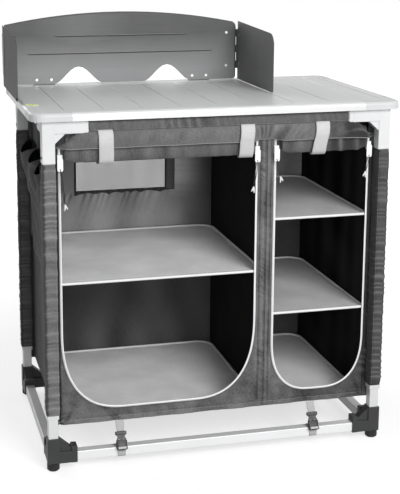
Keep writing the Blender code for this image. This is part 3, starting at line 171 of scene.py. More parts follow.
def surface(name, points, look, closed=(False, False), weld=False, wall=0.0, lining=None, painted_shading=None):
    """A surface through a net of points (rows, columns, 3), with its distances in metres as its UV map.

    closed joins the last row or column to the first. weld merges the points of poles and turns the faces
    outwards. wall gives an open cloth its thickness, half to each side, with the lining as a second finish.
    The painted shading given last is painted light and shade: how much paler, or below 0 darker, each point
    of the cloth is painted, where light would catch its folds or shade would lie in them.
    """
    rows, columns = points.shape[:2]
    row, column = grid_faces(rows, columns, closed)
    mesh = bpy.data.meshes.new(name)
    mesh.from_pydata(points.reshape(-1, 3), [], (row % rows) * columns + column % columns)
    run = []
    for axis in (1, 0):
        loop = np.concatenate([points, np.take(points, [0], axis)], axis) if closed[axis] else points
        steps = np.linalg.norm(np.diff(loop, axis=axis), axis=2).mean(1 - axis)
        run.append(np.concatenate([[0.0], np.cumsum(steps)]))
    layer = mesh.uv_layers.new(name="cloth")
    layer.data.foreach_set("uv", np.stack([run[0][column], run[1][row]], -1).astype(np.float32).ravel())
    if painted_shading is not None:
        painted_shading_layer = mesh.attributes.new("painted_shading", 'FLOAT', 'POINT')
        painted_shading_layer.data.foreach_set("value", np.broadcast_to(painted_shading, (rows, columns)).astype(np.float32).ravel())
    if weld:
        outwards(mesh, True)
    return mesh_piece(name, mesh, look, wall, lining)


def trim(thing, body="stand"):
    """Add a piece: it rides on a body."""
    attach(thing, body)
    return thing


def dress(thing, node):
    """Show a piece in place of a node of the stand."""
    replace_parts(trim(thing), node)
    return thing


def rise(x, low, high):
    """0 below low, 1 above high, and 3t^2 - 2t^3 between."""
    t = np.clip((x - low) / (high - low), 0.0, 1.0)
    return t * t * (3 - 2 * t)


def fall(x, low, high):
    """1 below low, 0 above high."""
    return 1 - rise(x, low, high)


def between(x, low, risen, falling, high):
    """1 from risen to falling, easing to 0 at low and at high."""
    return rise(x, low, risen) * fall(x, falling, high)


def bell(x, centre, width):
    """A bell curve, exp(-t^2) with t in widths from its centre."""
    return np.exp(-((x - centre) / width) ** 2)


def arch(t):
    """sin(pi t): 0 at 0 and 1, with 1 between."""
    return np.sin(math.pi * t)


def folds(u, v, size, seed, waves=7, along=None):
    """Soft irregular folds: a sum of sines with seeded directions, lengths near size and amplitudes that fall
    with their frequency, scaled to about -1..1. along holds the waves' direction, in radians, to 0.35."""
    draw = np.random.default_rng(seed)
    total, weight = np.zeros(np.broadcast(u, v).shape), 0.0
    for _ in range(waves):
        angle = draw.uniform(0, math.pi) if along is None else along + draw.uniform(-0.35, 0.35)
        pace = draw.uniform(0.6, 2.1)
        phase = draw.uniform(0, TAU)
        total += np.sin(TAU * pace * (np.cos(angle) * u + np.sin(angle) * v) / size + phase) / pace
        weight += 0.55 / pace
    return total / weight


def pleats(along, size, seed):
    """Close irregular pleats, 0 to 1 with narrow crests: 1 - |sin| of a phase whose pace wanders."""
    wander = folds(along, 0.0, size * 4, seed, 5, 0.0)
    return 1 - np.abs(arch(along / size + 0.45 * wander)) ** 0.8


def puckers(along, size, seed):
    """Pleats that rise and sink about their mean."""
    return pleats(along, size, seed) - 0.4


def crease(x, z, start, end, width, height):
    """A ridge along the line from start to end, as high as said at its start and dying out at its end."""
    line = np.subtract(end, start)
    length = math.hypot(*line)
    along = ((x - start[0]) * line[0] + (z - start[1]) * line[1]) / length ** 2
    off = np.abs((x - start[0]) * line[1] - (z - start[1]) * line[0]) / length
    fade = between(along, -0.02, 0.08, 0.35, 1.0)
    return height * fade * fall(off, 0.0, width * (0.4 + 0.8 * np.clip(along, 0, 1)))


def round_square(angle, half, radius):
    """Points of a square with rounded corners, as the support of a superellipse of power half / radius."""
    power = 2.0 * half / radius ** 0.75 / half ** 0.25
    reach = (np.abs(np.cos(angle)) ** power + np.abs(np.sin(angle)) ** power) ** (-1 / power)
    return half * reach * np.cos(angle), half * reach * np.sin(angle)


def swept(path, side, front, profile):
    """A profile of (side, front) offsets carried along a path: path + side * p0 + front * p1."""
    side, front = np.broadcast_to(side, path.shape), np.broadcast_to(front, path.shape)
    return path[:, None] + side[:, None] * profile[..., 0, None] + front[:, None] * profile[..., 1, None]


def tube(name, path, radius, look, sides=8, closed=False, up=UP):
    """A round tube along a path, its radius a number or one for each point, its open ends closed by poles."""
    around = np.roll(path, -1, 0) - np.roll(path, 1, 0) if closed else np.gradient(path, axis=0)
    tangent = unit(around)
    side = unit(np.cross(tangent, up))
    ring = net(np.cos(turns(sides)), np.sin(turns(sides)))
    radii = np.broadcast_to(np.asarray(radius, float), (len(path),))
    points = swept(path, side, np.cross(side, tangent), ring[None] * radii[:, None, None])
    if not closed:
        first, last = (np.repeat(end[:, None], sides, 1) for end in (path[:1], path[-1:]))
        points = np.concatenate([first, points, last])
    return surface(name, points, look, closed=(closed, True), weld=True)


def spline(points, count):
    """A smooth curve through points: a natural-looking Catmull-Rom curve sampled evenly in its parameter."""
    p = np.asarray(points, float)
    p = np.concatenate([2 * p[:1] - p[1:2], p, 2 * p[-1:] - p[-2:-1]])
    t = np.linspace(0, len(p) - 3 - 1e-9, count)
    i = t.astype(int)
    f = (t - i)[:, None]
    a, b, c, d = p[i], p[i + 1], p[i + 2], p[i + 3]
    bend, twist = 2 * a - 5 * b + 4 * c - d, 3 * b - a - 3 * c + d
    return 0.5 * (2 * b + (c - a) * f + bend * f ** 2 + twist * f ** 3)


def lathe(name, profile, centre, axis, look, sides=20):
    """A profile of (radius, height) points turned about an axis through centre, closed at its poles."""
    turn = np.array(Vector(axis).normalized().to_track_quat('Z', 'Y').to_matrix())
    radius, height = np.asarray(profile, float).T[..., None]
    local = net(radius * np.cos(turns(sides)), radius * np.sin(turns(sides)), height)
    return surface(name, local @ turn.T + np.asarray(centre), look, closed=ROUND, weld=True)


def rods(name, points, look):
    """Many like four-sided rods in one mesh, each closed at its ends, from points (rods, stations, 4, 3)."""
    count, stations = points.shape[:2]
    row, column = grid_faces(stations, 4, ROUND)
    faces = (row * 4 + column % 4)[:, [0, 3, 2, 1]]
    last = 4 * stations - 4
    faces = np.concatenate([faces, [[3, 2, 1, 0], [last, last + 1, last + 2, last + 3]]])
    mesh = bpy.data.meshes.new(name)
    starts = 4 * stations * np.arange(count)[:, None, None]
    mesh.from_pydata(points.reshape(-1, 3), [], (faces + starts).reshape(-1, 4))
    outwards(mesh)
    return mesh_piece(name, mesh, look)


def stitches(name, path, out, pitch, look):
    """A row of thread stitches along a path: a four-sided lens shape repeated every pitch, proud by out."""
    length = run_along(path)[-1]
    count = max(2, int(length / pitch))
    at = (np.arange(count) + 0.5) * length / count
    middle = sample(path, at)
    along = unit(sample(path, at + pitch / 4) - middle)
    out = np.broadcast_to(np.asarray(out, float), along.shape)
    side = np.cross(along, out)
    stations = np.array([-1.0, -0.55, 0.55, 1.0])[:, None, None]
    swell = np.array([0.25, 1.0, 1.0, 0.25])[:, None, None]
    ring = net(np.cos(turns(4)), np.sin(turns(4)))
    along, side, out = (way[:, None, None] for way in (along, side, out))
    local = stations * (pitch * 0.31) * along + swell * 0.00045 * (ring[:, :1] * side + ring[:, 1:] * out)
    return rods(name, middle[:, None, None] + local, look)


# Finishes

class Output:
    """A node's output. Sums, products and comparisons of it add Math nodes."""

    def __init__(self, nodes, socket):
        self.nodes, self.socket = nodes, socket

    def __abs__(self):
        return self.nodes.math('ABSOLUTE', self)

    def __add__(self, other):
        return self.nodes.math('ADD', self, other)

    def __sub__(self, other):
        return self.nodes.math('SUBTRACT', self, other)

    def __mul__(self, other):
        return self.nodes.math('MULTIPLY', self, other)

    def __pow__(self, other):
        return self.nodes.math('POWER', self, other)

    def __gt__(self, other):
        return self.nodes.math('GREATER_THAN', self, other)

    def __lt__(self, other):
        return self.nodes.math('LESS_THAN', self, other)

    def __or__(self, other):
        return self.nodes.math('MAXIMUM', self, other)


class Nodes:
    """The node tree of a material or of the world, built by short calls."""

    def __init__(self, owner):
        owner.use_nodes = True
        self.tree = owner.node_tree

    def put(self, value, target):
        """Link an output to an input, or set the input to a number, vector or colour."""
        if isinstance(value, Output):
            self.tree.links.new(value.socket, target)
        else:
            target.default_value = value

    def node(self, kind, inputs=(), output=0, **settings):
        """A new node, from (input, value) pairs and its settings; returns one of its outputs."""
        node = self.tree.nodes.new("ShaderNode" + kind)
        for key, value in settings.items():
            setattr(node, key, value)
        for key, value in inputs:
            self.put(value, node.inputs[key])
        return Output(self, node.outputs[output])

    def math(self, operation, a, b=0.0):
        return self.node("Math", ((0, a), (1, b)), operation=operation)

    def ramp(self, value, low, high, start=0.0, end=1.0):
        return self.node("MapRange", (("Value", value), ("From Min", start), ("From Max", end),
                                      ("To Min", low), ("To Max", high)), "Result")

    def rays(self, *kinds):
        """1 for the rays of any of the kinds."""
        path = self.tree.nodes.new("ShaderNodeLightPath").outputs
        seen = Output(self, path[f"Is {kinds[-1]} Ray"])
        for kind in kinds[-2::-1]:
            seen = Output(self, path[f"Is {kind} Ray"]) | seen
        return seen


class Finish(Nodes):
    """A procedural material that ends at a Principled shader."""

    def __init__(self, name, roughness, metallic=0.0, sheen=0.0, coat=0.0, specular=0.5):
        self.paint = bpy.data.materials.new(name)
        super().__init__(self.paint)
        self.inputs = self.tree.nodes["Principled BSDF"].inputs
        for key, value in (("Roughness", roughness), ("Metallic", metallic), ("Sheen Weight", sheen),
                           ("Coat Weight", coat), ("Specular IOR Level", specular)):
            self.put(value, self.inputs[key])
        self.coords = self.tree.nodes.new("ShaderNodeTexCoord")

    def where(self, on="Object"):
        return Output(self, self.coords.outputs[on])

    def place(self, scale=(1, 1, 1), on="Object", turn=(0, 0, 0)):
        return self.node("Mapping", (("Scale", scale), ("Rotation", turn), ("Vector", self.where(on))))

    def axis(self, name, vector=None):
        return self.node("SeparateXYZ", ((0, vector or self.where()),), name)

    def noise(self, scale, vector=None, detail=2.0, rough=0.5):
        return self.node("TexNoise", (("Scale", scale), ("Detail", detail), ("Roughness", rough),
                                      ("Vector", vector or self.where())), "Fac")

    def blend(self, value, first, second):
        return self.node("Mix", ((0, value), (6, first), (7, second)), 2, data_type='RGBA')

    def sine(self, value):
        return self.math('SINE', value)

    def look(self, colour, rough, height, distance, strength):
        """Set the colour, the roughness where it varies, and a bump."""
        self.put(colour, self.inputs["Base Color"])
        if rough:
            self.put(rough, self.inputs["Roughness"])
        return self.bump(height, distance, strength)

    def bump(self, height, distance, strength):
        """A bump over those that are there."""
        before = self.inputs["Normal"].links
        under = (("Normal", Output(self, before[0].from_socket)),) if before else ()
        self.put(self.node("Bump", (("Distance", distance), ("Strength", strength), ("Height", height),
                                    *under), "Normal"), self.inputs["Normal"])
        return self.paint


def grey(value, warm=0.0):
    """A near-neutral linear colour, warm above 0 and cool below."""
    return (value * (1 + warm), value, value * (1 - warm), 1.0)


def scaled(colour, factor):
    """A colour made paler or deeper."""
    return (*(part * factor for part in colour[:3]), 1.0)


def woven(name, tone, speckle=0.32, roughness=0.78, sheen=0.15, specular=0.12, zone=None):
    """Woven cloth round a middle tone: two crossed sine rows of threads 0.9 mm apart, a two-tone speckle,
    streaks along the warp, broad uneven tone from handling, and painted light and shade on its folds: paler
    on their crests and darker in their hollows, from the mesh's painted shading. zone gives a mask and the
    middle tone where it is 1."""
    f = Finish(name, roughness, sheen=sheen, specular=specular)
    uv = f.place(on="UV")
    warp, weft = (f.sine(f.axis(way, uv) * (TAU / 0.0009)) for way in "XY")
    weave = warp * weft
    speck = f.noise(1.0, f.place((520, 150, 1), "UV", (0, 0, 0.6)), 3.0, 0.6)
    streak = f.noise(1.0, f.place((60, 300, 1), "UV", (0, 0, 0.2)), 2.0, 0.5)
    mix = f.ramp(speck * 0.65 + streak * 0.35, 0.39 - speckle / 2, 0.39 + speckle / 2, 0.36, 0.64)
    broad = f.ramp(f.noise(9.0), -0.06, 0.06, 0.3, 0.7)
    mix = mix + broad + weave * 0.06
    # Painted light and shade: the mesh's painted shading makes folds paler on their crests and darker in
    # their hollows.
    painted_shading_layer = f.node("Attribute", (), "Fac", attribute_name="painted_shading")
    mix = mix + painted_shading_layer * 0.8
    dark, light = grey(tone * 0.36), grey(tone * 2.0)
    if zone:
        mask, other = zone(f)
        dark = f.blend(mask, dark, grey(other * 0.36))
        light = f.blend(mask, light, grey(other * 2.0))
    f.look(f.blend(mix, dark, light), f.ramp(speck, roughness - 0.07, roughness + 0.08), weave, 0.00035, 0.5)
    return f.bump(f.noise(38.0, detail=3.0), 0.0012, 0.35)


def moulded(name, colour, roughness=0.42, grain=0.00012, coat=0.0, worn=0.1):
    """Moulded plastic: fine spark-eroded grain, and a slight flow tone that ranges worn either way of the
    colour.
    """
    f = Finish(name, roughness, coat=coat, specular=0.3)
    flow = f.ramp(f.noise(14.0), 0, 1, 0.3, 0.7)
    colour = f.blend(flow, scaled(colour, 1 - worn), scaled(colour, 1 + worn))
    rough = f.ramp(f.noise(60.0, detail=3.0), roughness - 0.06, roughness + 0.08, 0.3, 0.7)
    return f.look(colour, rough, f.noise(2600.0, detail=1.0), grain, 0.5)


def brushed(name, tone, along, roughness=0.40):
    """Brushed or drawn metal: noise drawn out along one axis for its lines, and broad tone."""
    f = Finish(name, roughness, 0.20)
    colour = grey(tone, -0.006)
    scale = [1500.0, 1500.0, 1500.0]
    scale[along] = 14.0
    lines = f.noise(1.0, f.place(scale), 2.0, 0.6)
    broad = f.noise(5.0, detail=3.0)
    tone = f.ramp(lines * 0.6 + broad * 0.4, 0, 1, 0.32, 0.68)
    colour = f.blend(tone, scaled(colour, 0.95), scaled(colour, 1.05))
    return f.look(colour, f.ramp(lines, roughness - 0.06, roughness + 0.10, 0.3, 0.7), lines, 0.00006, 0.5)


def coated(name, colour, roughness=0.42, metallic=0.12, glow=0.0, rim=False, specular=0.2):
    """Stove-enamelled sheet metal: fine orange-peel bump, faint drawn lines and dust-soft tone. glow paints a
    highlight: it makes it paler low down and about a third of the way along. The rim setting paints shade on
    the shield's folded edge: past a parabola along its arched top, and along its right end."""
    f = Finish(name, roughness, metallic, specular=specular)
    peel = f.noise(420.0)
    lines = f.noise(1.0, f.place((9, 9, 900)), 2.0, 0.5)
    broad = f.noise(7.0, detail=3.0)
    tone = lines * 0.45 + broad * 0.55
    # Painted highlight: paler low down and about a third of the way along.
    low = f.ramp(f.axis("Z"), glow, 0.0, 0.850, 0.945)
    along = f.ramp(abs(f.axis("X") + 0.235), glow * 0.30, 0.0, 0.02, 0.13)
    glint = low | along
    mix = f.ramp(tone, 0.02, 0.11, 0.35, 0.65) + glint * 0.50
    if rim:
        # Painted shade along the folded edge.
        arc = (f.axis("X") + 0.1276) ** 2.0 * 0.323
        top = f.axis("Z") + arc > 0.9972
        mix = mix - (top | (f.axis("X") > 0.1690)) * 0.5
    rough = f.ramp(peel, roughness - 0.05, roughness + 0.07, 0.3, 0.7)
    return f.look(f.blend(mix, scaled(colour, 0.80), scaled(colour, 4.4)), rough, peel, 0.00015, 0.35)


def riveted(name, pale, axis, level, over, clear, reach):
    """Dark hardware whose rivet heads are pale: the heads are what lies past a level on one axis, and farther
    than the reach from the hinge line on the other."""
    f = Finish(name, 0.4, 0.5, specular=0.4)
    place = f.axis(axis)
    head = place > level if over else place < level
    off = abs(f.axis("Y" if axis == "X" else "X") - clear)
    head = head * (off < reach)
    tone = f.ramp(f.noise(220.0), 0.88, 1.0, 0.35, 0.65)
    shade = f.blend(head, grey(0.050), grey(pale))
    return f.look(f.blend(tone, grey(0.02), shade), None, f.noise(700.0), 0.00008, 0.4)


def ribbed(name, light, dark, pitch=0.0022):
    """Woven webbing or binding: ribs across its length, a fine herringbone sine and a fine speckle."""
    f = Finish(name, 0.7, sheen=0.1, specular=0.2)
    uv = f.place(on="UV")
    rib = f.sine(f.axis("Y", uv) * (TAU / pitch))
    slant = f.sine((f.axis("X", uv) + f.axis("Y", uv)) * (TAU / pitch / 1.5))
    tone = rib * 0.22 + slant * 0.18
    speck = f.ramp(f.noise(900.0), -0.35, 0.35, 0.3, 0.7)
    return f.look(f.blend(tone + speck + 0.5, grey(dark), grey(light)), None, rib + slant, 0.0003, 0.5)


def painted_room_light(f):
    """Painted light on the rear lining: paler in the two upper rooms and the left part of the middle right
    room, the left room's painted light dying out into painted shade towards the divider, and darker below
    them.
    """
    left = f.ramp(f.axis("X"), 1.0, 0.0, 0.02, 0.108) * f.ramp(f.axis("Z"), 0.0, 1.0, 0.425, 0.437)
    right = (f.axis("X") > DIVIDER_X) * f.ramp(f.axis("Z"), 0.0, 1.0, 0.545, 0.560)
    middle = f.ramp(f.axis("X"), 1.0, 0.0, 0.195, 0.215) * (f.axis("X") > DIVIDER_X)
    middle = middle * f.ramp(f.axis("Z"), 0.0, 1.0, 0.330, 0.345)
    return left | right | middle, 0.29


def painted_right_end_shade(f):
    """Painted shade on the front cloth's right end, darker towards the leg."""
    return f.ramp(f.axis("X"), 0.0, 1.0, 0.20, 0.36), 0.075


# Painted shade: its zone darkens the front cloth towards its right end.
CLOTH = woven("anthracite_cloth", 0.118, zone=painted_right_end_shade)
SLEEVE_CLOTH = woven("sleeve_cloth", 0.165, 0.2)
# Painted shade: the front right sleeve wears the sleeve cloth in a darker tone that stands in for the shade
# on it.
SHADED_RIGHT_SLEEVE_CLOTH = woven("right_sleeve_cloth_painted_shade", 0.080, 0.2)
SIDE_CLOTH = woven("side_cloth", 0.046, 0.25)
REAR_SLEEVE_CLOTH = woven("rear_sleeve_cloth", 0.100, 0.25)
REAR_CLOTH = woven("rear_cloth", 0.120, 0.25)
# Painted light and shade: its zone paints the lining paler in the upper rooms.
REAR_LINING = woven("rear_lining", 0.070, 0.15, 0.7, zone=painted_room_light)
BLACK_LINING = woven("black_lining", 0.024, 0.2, 0.9, 0.0, 0.0)
# Painted light and shade: one board cloth in two tones set to how the rooms are lit, the left boards paler
# than the right ones.
BOARD_CLOTH = {"left": woven("left_board_cloth_lit_tone", 0.84, 0.1, 0.6, 0.1),
               "right": woven("right_board_cloth_shaded_tone", 0.61, 0.12, 0.6, 0.1)}
HEM_CLOTH = woven("hem_cloth", 0.040)
WINDOW_HEM_CLOTH = woven("window_hem_cloth", 0.085, 0.2)
PALE_WEBBING = ribbed("pale_webbing", 0.65, 0.46)
# Painted shade: the webbing in a darker tone on the straps and rail loops, standing in for how light falls on
# them.
SHADED_STRAP_WEBBING = ribbed("strap_webbing_painted_shade", 0.56, 0.36, 0.0013)
WHITE_PIPING = ribbed("white_piping", 0.90, 0.74, 0.0016)
ZIP_TAPE = ribbed("zip_tape", 0.86, 0.66, 0.0012)
ZIP_COIL = moulded("zip_coil", grey(0.86), 0.3, 0.00005, coat=0.2, worn=0.04)
NET_THREAD = ribbed("net_thread", 0.135, 0.080, 0.0011)
THREAD = ribbed("pale_thread", 0.34, 0.24, 0.0007)
CORD = ribbed("black_cord", 0.035, 0.015, 0.0013)
WHITE_CORD = ribbed("white_cord", 0.86, 0.66, 0.0013)
BUCKLE_PLASTIC = moulded("buckle_plastic", grey(0.036), 0.42, 0.00006)
DARK_PLASTIC = moulded("dark_corner_plastic", grey(0.034, -0.02), 0.55, 0.00014)
WHITE_PLASTIC = moulded("white_corner_plastic", grey(0.63, -0.008), 0.45, 0.00008, worn=0.03)
PALE_PLASTIC = moulded("pale_corner_plastic", grey(0.56, -0.01), 0.42, 0.00010, worn=0.03)
RUBBER = moulded("black_rubber", grey(0.012), 0.55, 0.00020)
SCREW_BLACK = moulded("black_screw", grey(0.014), 0.32, 0.00003)
SLIDER_PAINT = moulded("white_slider_paint", grey(0.84), 0.30, 0.00003, coat=0.3, worn=0.04)
# Painted highlight from glow, painted shade on its rim.
SHIELD_COAT = coated("shield_coat", grey(0.083, -0.01), glow=1.0, rim=True)
# Painted light and shade: the wings wear the shield's coat in other tones set to how each is lit, darker on
# the left wing with a faint painted highlight, and paler on the right wing's inner face.
WING_COAT = coated("wing_coat", grey(0.055, -0.01), 0.5, 0.0, glow=0.1, specular=0.038)
LIT_RIGHT_WING_COAT = coated("right_wing_coat_painted_light", grey(0.146, -0.01), 0.5)
# Painted shadow and painted highlight that draw the windshield's pressed beads.
BEAD_DARK = coated("bead_shadow_line", grey(0.030), 0.5)
BEAD_HIGHLIGHT = coated("bead_painted_highlight", grey(0.260), 0.4)
PANEL_HARDWARE = riveted("panel_hardware", 0.80, "Y", 0.2188, False, -0.1076, 0.2771)
LEFT_HARDWARE = riveted("left_hinge_hardware", 0.60, "X", -0.4312, True, 0.0, 0.2135)
RIGHT_HARDWARE = riveted("right_hinge_hardware", 0.40, "X", 0.1758, False, 0.0, 0.2135)


def dress_nodes():
    """Finishes for the rigid nodes that are shown as they are, by how their names start."""
    # Painted light and shade: one drawn aluminium in three tones by the axis it runs along, set to how each
    # is lit: paler on the front and rear rails, darker on the legs and darkest on the side rails.
    drawn = [brushed(f"drawn_aluminium_shaded_by_axis_{way}", tone, k) for k, (way, tone) in
             enumerate((("x", 0.76), ("y", 0.53), ("z", 0.62)))]
    looks = (("leg_", drawn[2]), ("bottom_corner_", DARK_PLASTIC), ("top_corner_", WHITE_PLASTIC),
             ("table_corner_", PALE_PLASTIC), ("foot_", RUBBER),
             ("table_slats", brushed("worktop_slats", 0.605, 1, 0.42)),
             ("table_rim", brushed("worktop_rim", 0.62, 0)),
             ("windshield_bracket_", PANEL_HARDWARE), ("hinge_leaf_panel_", PANEL_HARDWARE),
             ("hinge_leaf_wing_left", LEFT_HARDWARE), ("hinge_leaf_wing_right", RIGHT_HARDWARE),
             ("windshield_wing_left", WING_COAT), ("windshield_wing_right", LIT_RIGHT_WING_COAT),
             ("windshield_", SHIELD_COAT), ("zip_slider_", SLIDER_PAINT), ("buckle_male_", BUCKLE_PLASTIC))
    for name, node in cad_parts.items():
        look = next((look for start, look in looks if name.startswith(start)), None)
        if "_rail_" in name:
            look = drawn[0 if name.endswith(("front", "rear")) else 1]
        if look:
            node.data.materials.clear()
            node.data.materials.append(look)


# Front of the cabinet

CREASES = (((-0.228, 0.100), (-0.300, 0.172)), ((-0.240, 0.100), (-0.285, 0.150)),
           ((0.226, 0.100), (0.200, 0.150)), ((-0.356, 0.102), (-0.330, 0.150)),
           ((0.362, 0.104), (0.338, 0.160)))


def sew(name, path, out, pitch=STITCH, look=THREAD):
    """Stitches along a path, added to the stand."""
    trim(stitches(name, path, out, pitch, look))


def drawn_creases(x, z):
    """The creases that the two straps and the lower corners draw in the front cloth."""
    return sum(crease(x, z, start, end, 0.0060, 0.0044) for start, end in CREASES)


def front_relief(x, z):
    """How far the front cloth stands out of its plane: broad folds, creases that fan from the two straps,
    puckers along the middle seam and beside the right door, and the thicker hem and seam."""
    out = 0.0018 * folds(x, z, 0.12, 3) + 0.0009 * folds(x, z, 0.045, 4) + drawn_creases(x, z)
    seam = np.exp(-np.abs(x - SEAM_X) / 0.010) * (1 - 0.4 * rise(z, 0.62, 0.74))
    out += 0.0036 * seam * puckers(z + 0.5 * (x - 0.1), 0.017, 11) * (0.5 + 0.5 * folds(z, 0, 0.2, 12))
    rows = np.abs((x - 0.1120) / 0.0115)
    out += 0.0016 * arch(rows) ** 2 * (rows < 2) * rise(z, 0.15, 0.22)
    beside = rise(x, 0.330, 0.362) * rise(z, 0.13, 0.18) * (1 - 0.6 * rise(z, 0.36, 0.50))
    out += 0.0042 * beside * puckers(z + 0.25 * x, 0.021, 13)
    beside = between(-x, 0.335, 0.356, 0.361, 0.366) * rise(z, 0.16, 0.22)
    out += 0.0028 * beside * puckers(z - 0.3 * x, 0.033, 17)
    out -= 0.0085 * (np.abs(x + 0.3672) < 0.0045) * np.cos(math.pi * (x + 0.3672) / 0.009) ** 2
    out += 0.0010 * fall(np.abs(z - PANEL_LOW), 0.010, 0.012)
    out -= 0.0012 * fall(np.abs(z - PANEL_LOW - 0.0125), 0.0, 0.0016)
    return out + 0.0010 * fall(np.abs(x - SEAM_X), 0.0022, 0.0030)


def seam_lines_and_painted_shade(x, z):
    """How much darker the front cloth is painted: darker needle lines of the middle strip, and painted shade
    in the short slanting hollows that the middle seam draws beside it."""
    lines = sum(deep * bell(x, place, 0.0011)
                for place, deep in ((0.0998, 0.35), (0.1116, 0.6), (0.1155, 0.45), (0.1257, 0.4)))
    # Painted shade in the slanting hollows beside the middle seam.
    painted_hollow_shade = pleats(z + 0.9 * (x - 0.1), 0.0135, 19) ** 2 * bell(x, 0.1060, 0.0055)
    patchy = np.clip(0.4 + folds(z, x * 0.1, 0.09, 20), 0.0, 1.0) * rise(z, 0.14, 0.20)
    return lines + 0.75 * painted_hollow_shade * patchy


def door_net(door, grow, outer):
    """Points of a door's U edge, grown outwards, and for each the point of the outer rectangle facing it.

    The U runs from its top right down, round and up again. A corner's points lie at even directions round
    its own centre, at radius (|cos/a|^p + |sin/b|^p)^(-1/p), and the rectangle's lie where those directions
    meet it.
    """
    left, right, wide, tall = DOORS[door]
    left, right, low = left - grow, right + grow, DOOR_LOW - grow
    out_left, out_right, out_low, out_top = outer
    centre_z = low + tall
    corners = []
    for centre_x, sign, edge in ((right - wide, 1, out_right), (left + wide, -1, out_left)):
        reach_x, reach_z = abs(edge - centre_x), centre_z - out_low
        turn = np.sort(np.append(np.linspace(0, math.pi / 2, 64), math.atan2(reach_z, reach_x)))
        cos, sin = np.maximum(np.cos(turn), 1e-9), np.maximum(np.sin(turn), 1e-9)
        inner = ((cos / wide) ** DOOR_POWER + (sin / tall) ** DOOR_POWER) ** (-1 / DOOR_POWER)
        far = np.minimum(reach_x / cos, reach_z / sin)
        corners.append([net(centre_x + sign * reach * cos, centre_z - reach * sin) for reach in (inner, far)])
    up = np.linspace(out_top, centre_z, 150)
    level = np.linspace(right - wide, left + wide, 48)[1:-1]
    first, last = corners
    return [np.concatenate([net(start, up), first[k][1:], net(level, foot), last[k][::-1][:-1],
                            net(end, up[::-1])])
            for k, (start, end, foot) in enumerate(((right, left, low), (out_right, out_left, out_low)))]


def relief_at(flat, ease=1.0):
    """A point of the front cloth in space: its plane less the relief, eased where a zip holds it flat."""
    x, z = flat[..., 0], flat[..., 1]
    return net(x, PANEL_Y - ease * front_relief(x, z), z)


def make_front_panel():
    """The front cloth as two nets, from each door's edge out to the panel's edge or the middle seam.

    Each is cut as a U round its door.
    """
    for door, ends, size in (("left", (-PANEL_HALF, DIVIDER_X), (0.0309, 1.725)),
                             ("right", (DIVIDER_X, PANEL_HALF), (0.0275, 1.522))):
        inner, outer = door_net(door, 0.0012, (*ends, PANEL_LOW, PANEL_TOP))
        across = np.linspace(0, 1, 25) ** 1.1
        flat = inner[:, None] + (outer - inner)[:, None] * across[:, None]
        points = relief_at(flat, 0.05 + 0.95 * rise(across, 0.22, 0.58))
        x, z = flat[..., 0], flat[..., 1]
        # Painted light and shade: paler where the relief stands out, darker in its hollows, the strap creases
        # and the middle seam's lines and hollows, a painted pale patch under the left door's lower corner,
        # and painted shade beside the right zip.
        painted_shading = 150 * (front_relief(x, z) - 1.6 * drawn_creases(x, z)) - 0.05 - 1.25 * seam_lines_and_painted_shade(x, z)
        painted_shading += 0.35 * bell(x, -0.335, 0.045) * bell(z, 0.145, 0.035)
        painted_shading -= 0.60 * rise(x, 0.357, 0.366) * rise(z, 0.16, 0.24)
        cloth = dress(surface(f"front_cloth_{door}", points, CLOTH, wall=FRONT_WALL, lining=BLACK_LINING,
                              painted_shading=np.clip(painted_shading, -0.9, 0.6)), "cabinet_front")


def make_zips():
    """Zip halves round both doors: the coil's turns as a helical swell of its tube, the tape beside it, and
    the tape's seam, in dark thread that paints the shadow line beside the tape."""
    turn = turns(8)
    bow = np.array([[-0.0014, 0.0009], [0.0002, 0.0013], [0.0014, 0.0014], [0.0028, 0.0012],
                    [0.0035, 0.0006]])
    for door in DOORS:
        line, _ = door_net(door, 0.0, (-0.6, 0.6, 0.0, ZIP_TOP))
        length = run_along(line)[-1]
        at = np.linspace(0, length, int(length / ZIP_PITCH * ZIP_STEPS))
        path = relief_at(sample(line, at), 0.05)
        side = unit(np.cross(unit(np.gradient(path, axis=0)), FORWARD))
        swell = 1 + 0.14 * np.sin(TAU * at[:, None] / ZIP_PITCH + turn)
        coil = swept(path, side, FORWARD, net(0.0016 * np.cos(turn) * swell,
                                              0.0017 + 0.0012 * np.sin(turn) * swell))
        trim(surface(f"zip_coil_{door}", coil, ZIP_COIL, closed=ROUND))
        outward = side if side[10, 0] > 0 else -side
        path, outward = path[::2 * ZIP_STEPS], outward[::2 * ZIP_STEPS]
        tape = swept(path, outward, FORWARD, bow[None])
        trim(surface(f"zip_tape_{door}", tape, ZIP_TAPE, wall=THIN_WALL))
        hem = path + outward * 0.0062 + FORWARD * 0.0007
        # Painted shadow: dark stitches stand in for the shadow line between the tape and the cloth.
        sew(f"zip_seam_painted_shadow_{door}", hem, FORWARD, ZIP_STITCH, HEM_CLOTH)


def make_middle_seam():
    """Stitches along the middle seam and the bottom hem of the front cloth."""
    x, z = np.linspace(-0.362, 0.362, 220), np.linspace(0.112, 0.735, 160)
    for name, line in (("middle_stitches_left", net(0.1048, z)), ("middle_stitches_right", net(0.1122, z)),
                       ("hem_stitches_front", net(x, HEM_Z))):
        sew(name, relief_at(line) + 0.0006 * FORWARD, FORWARD)


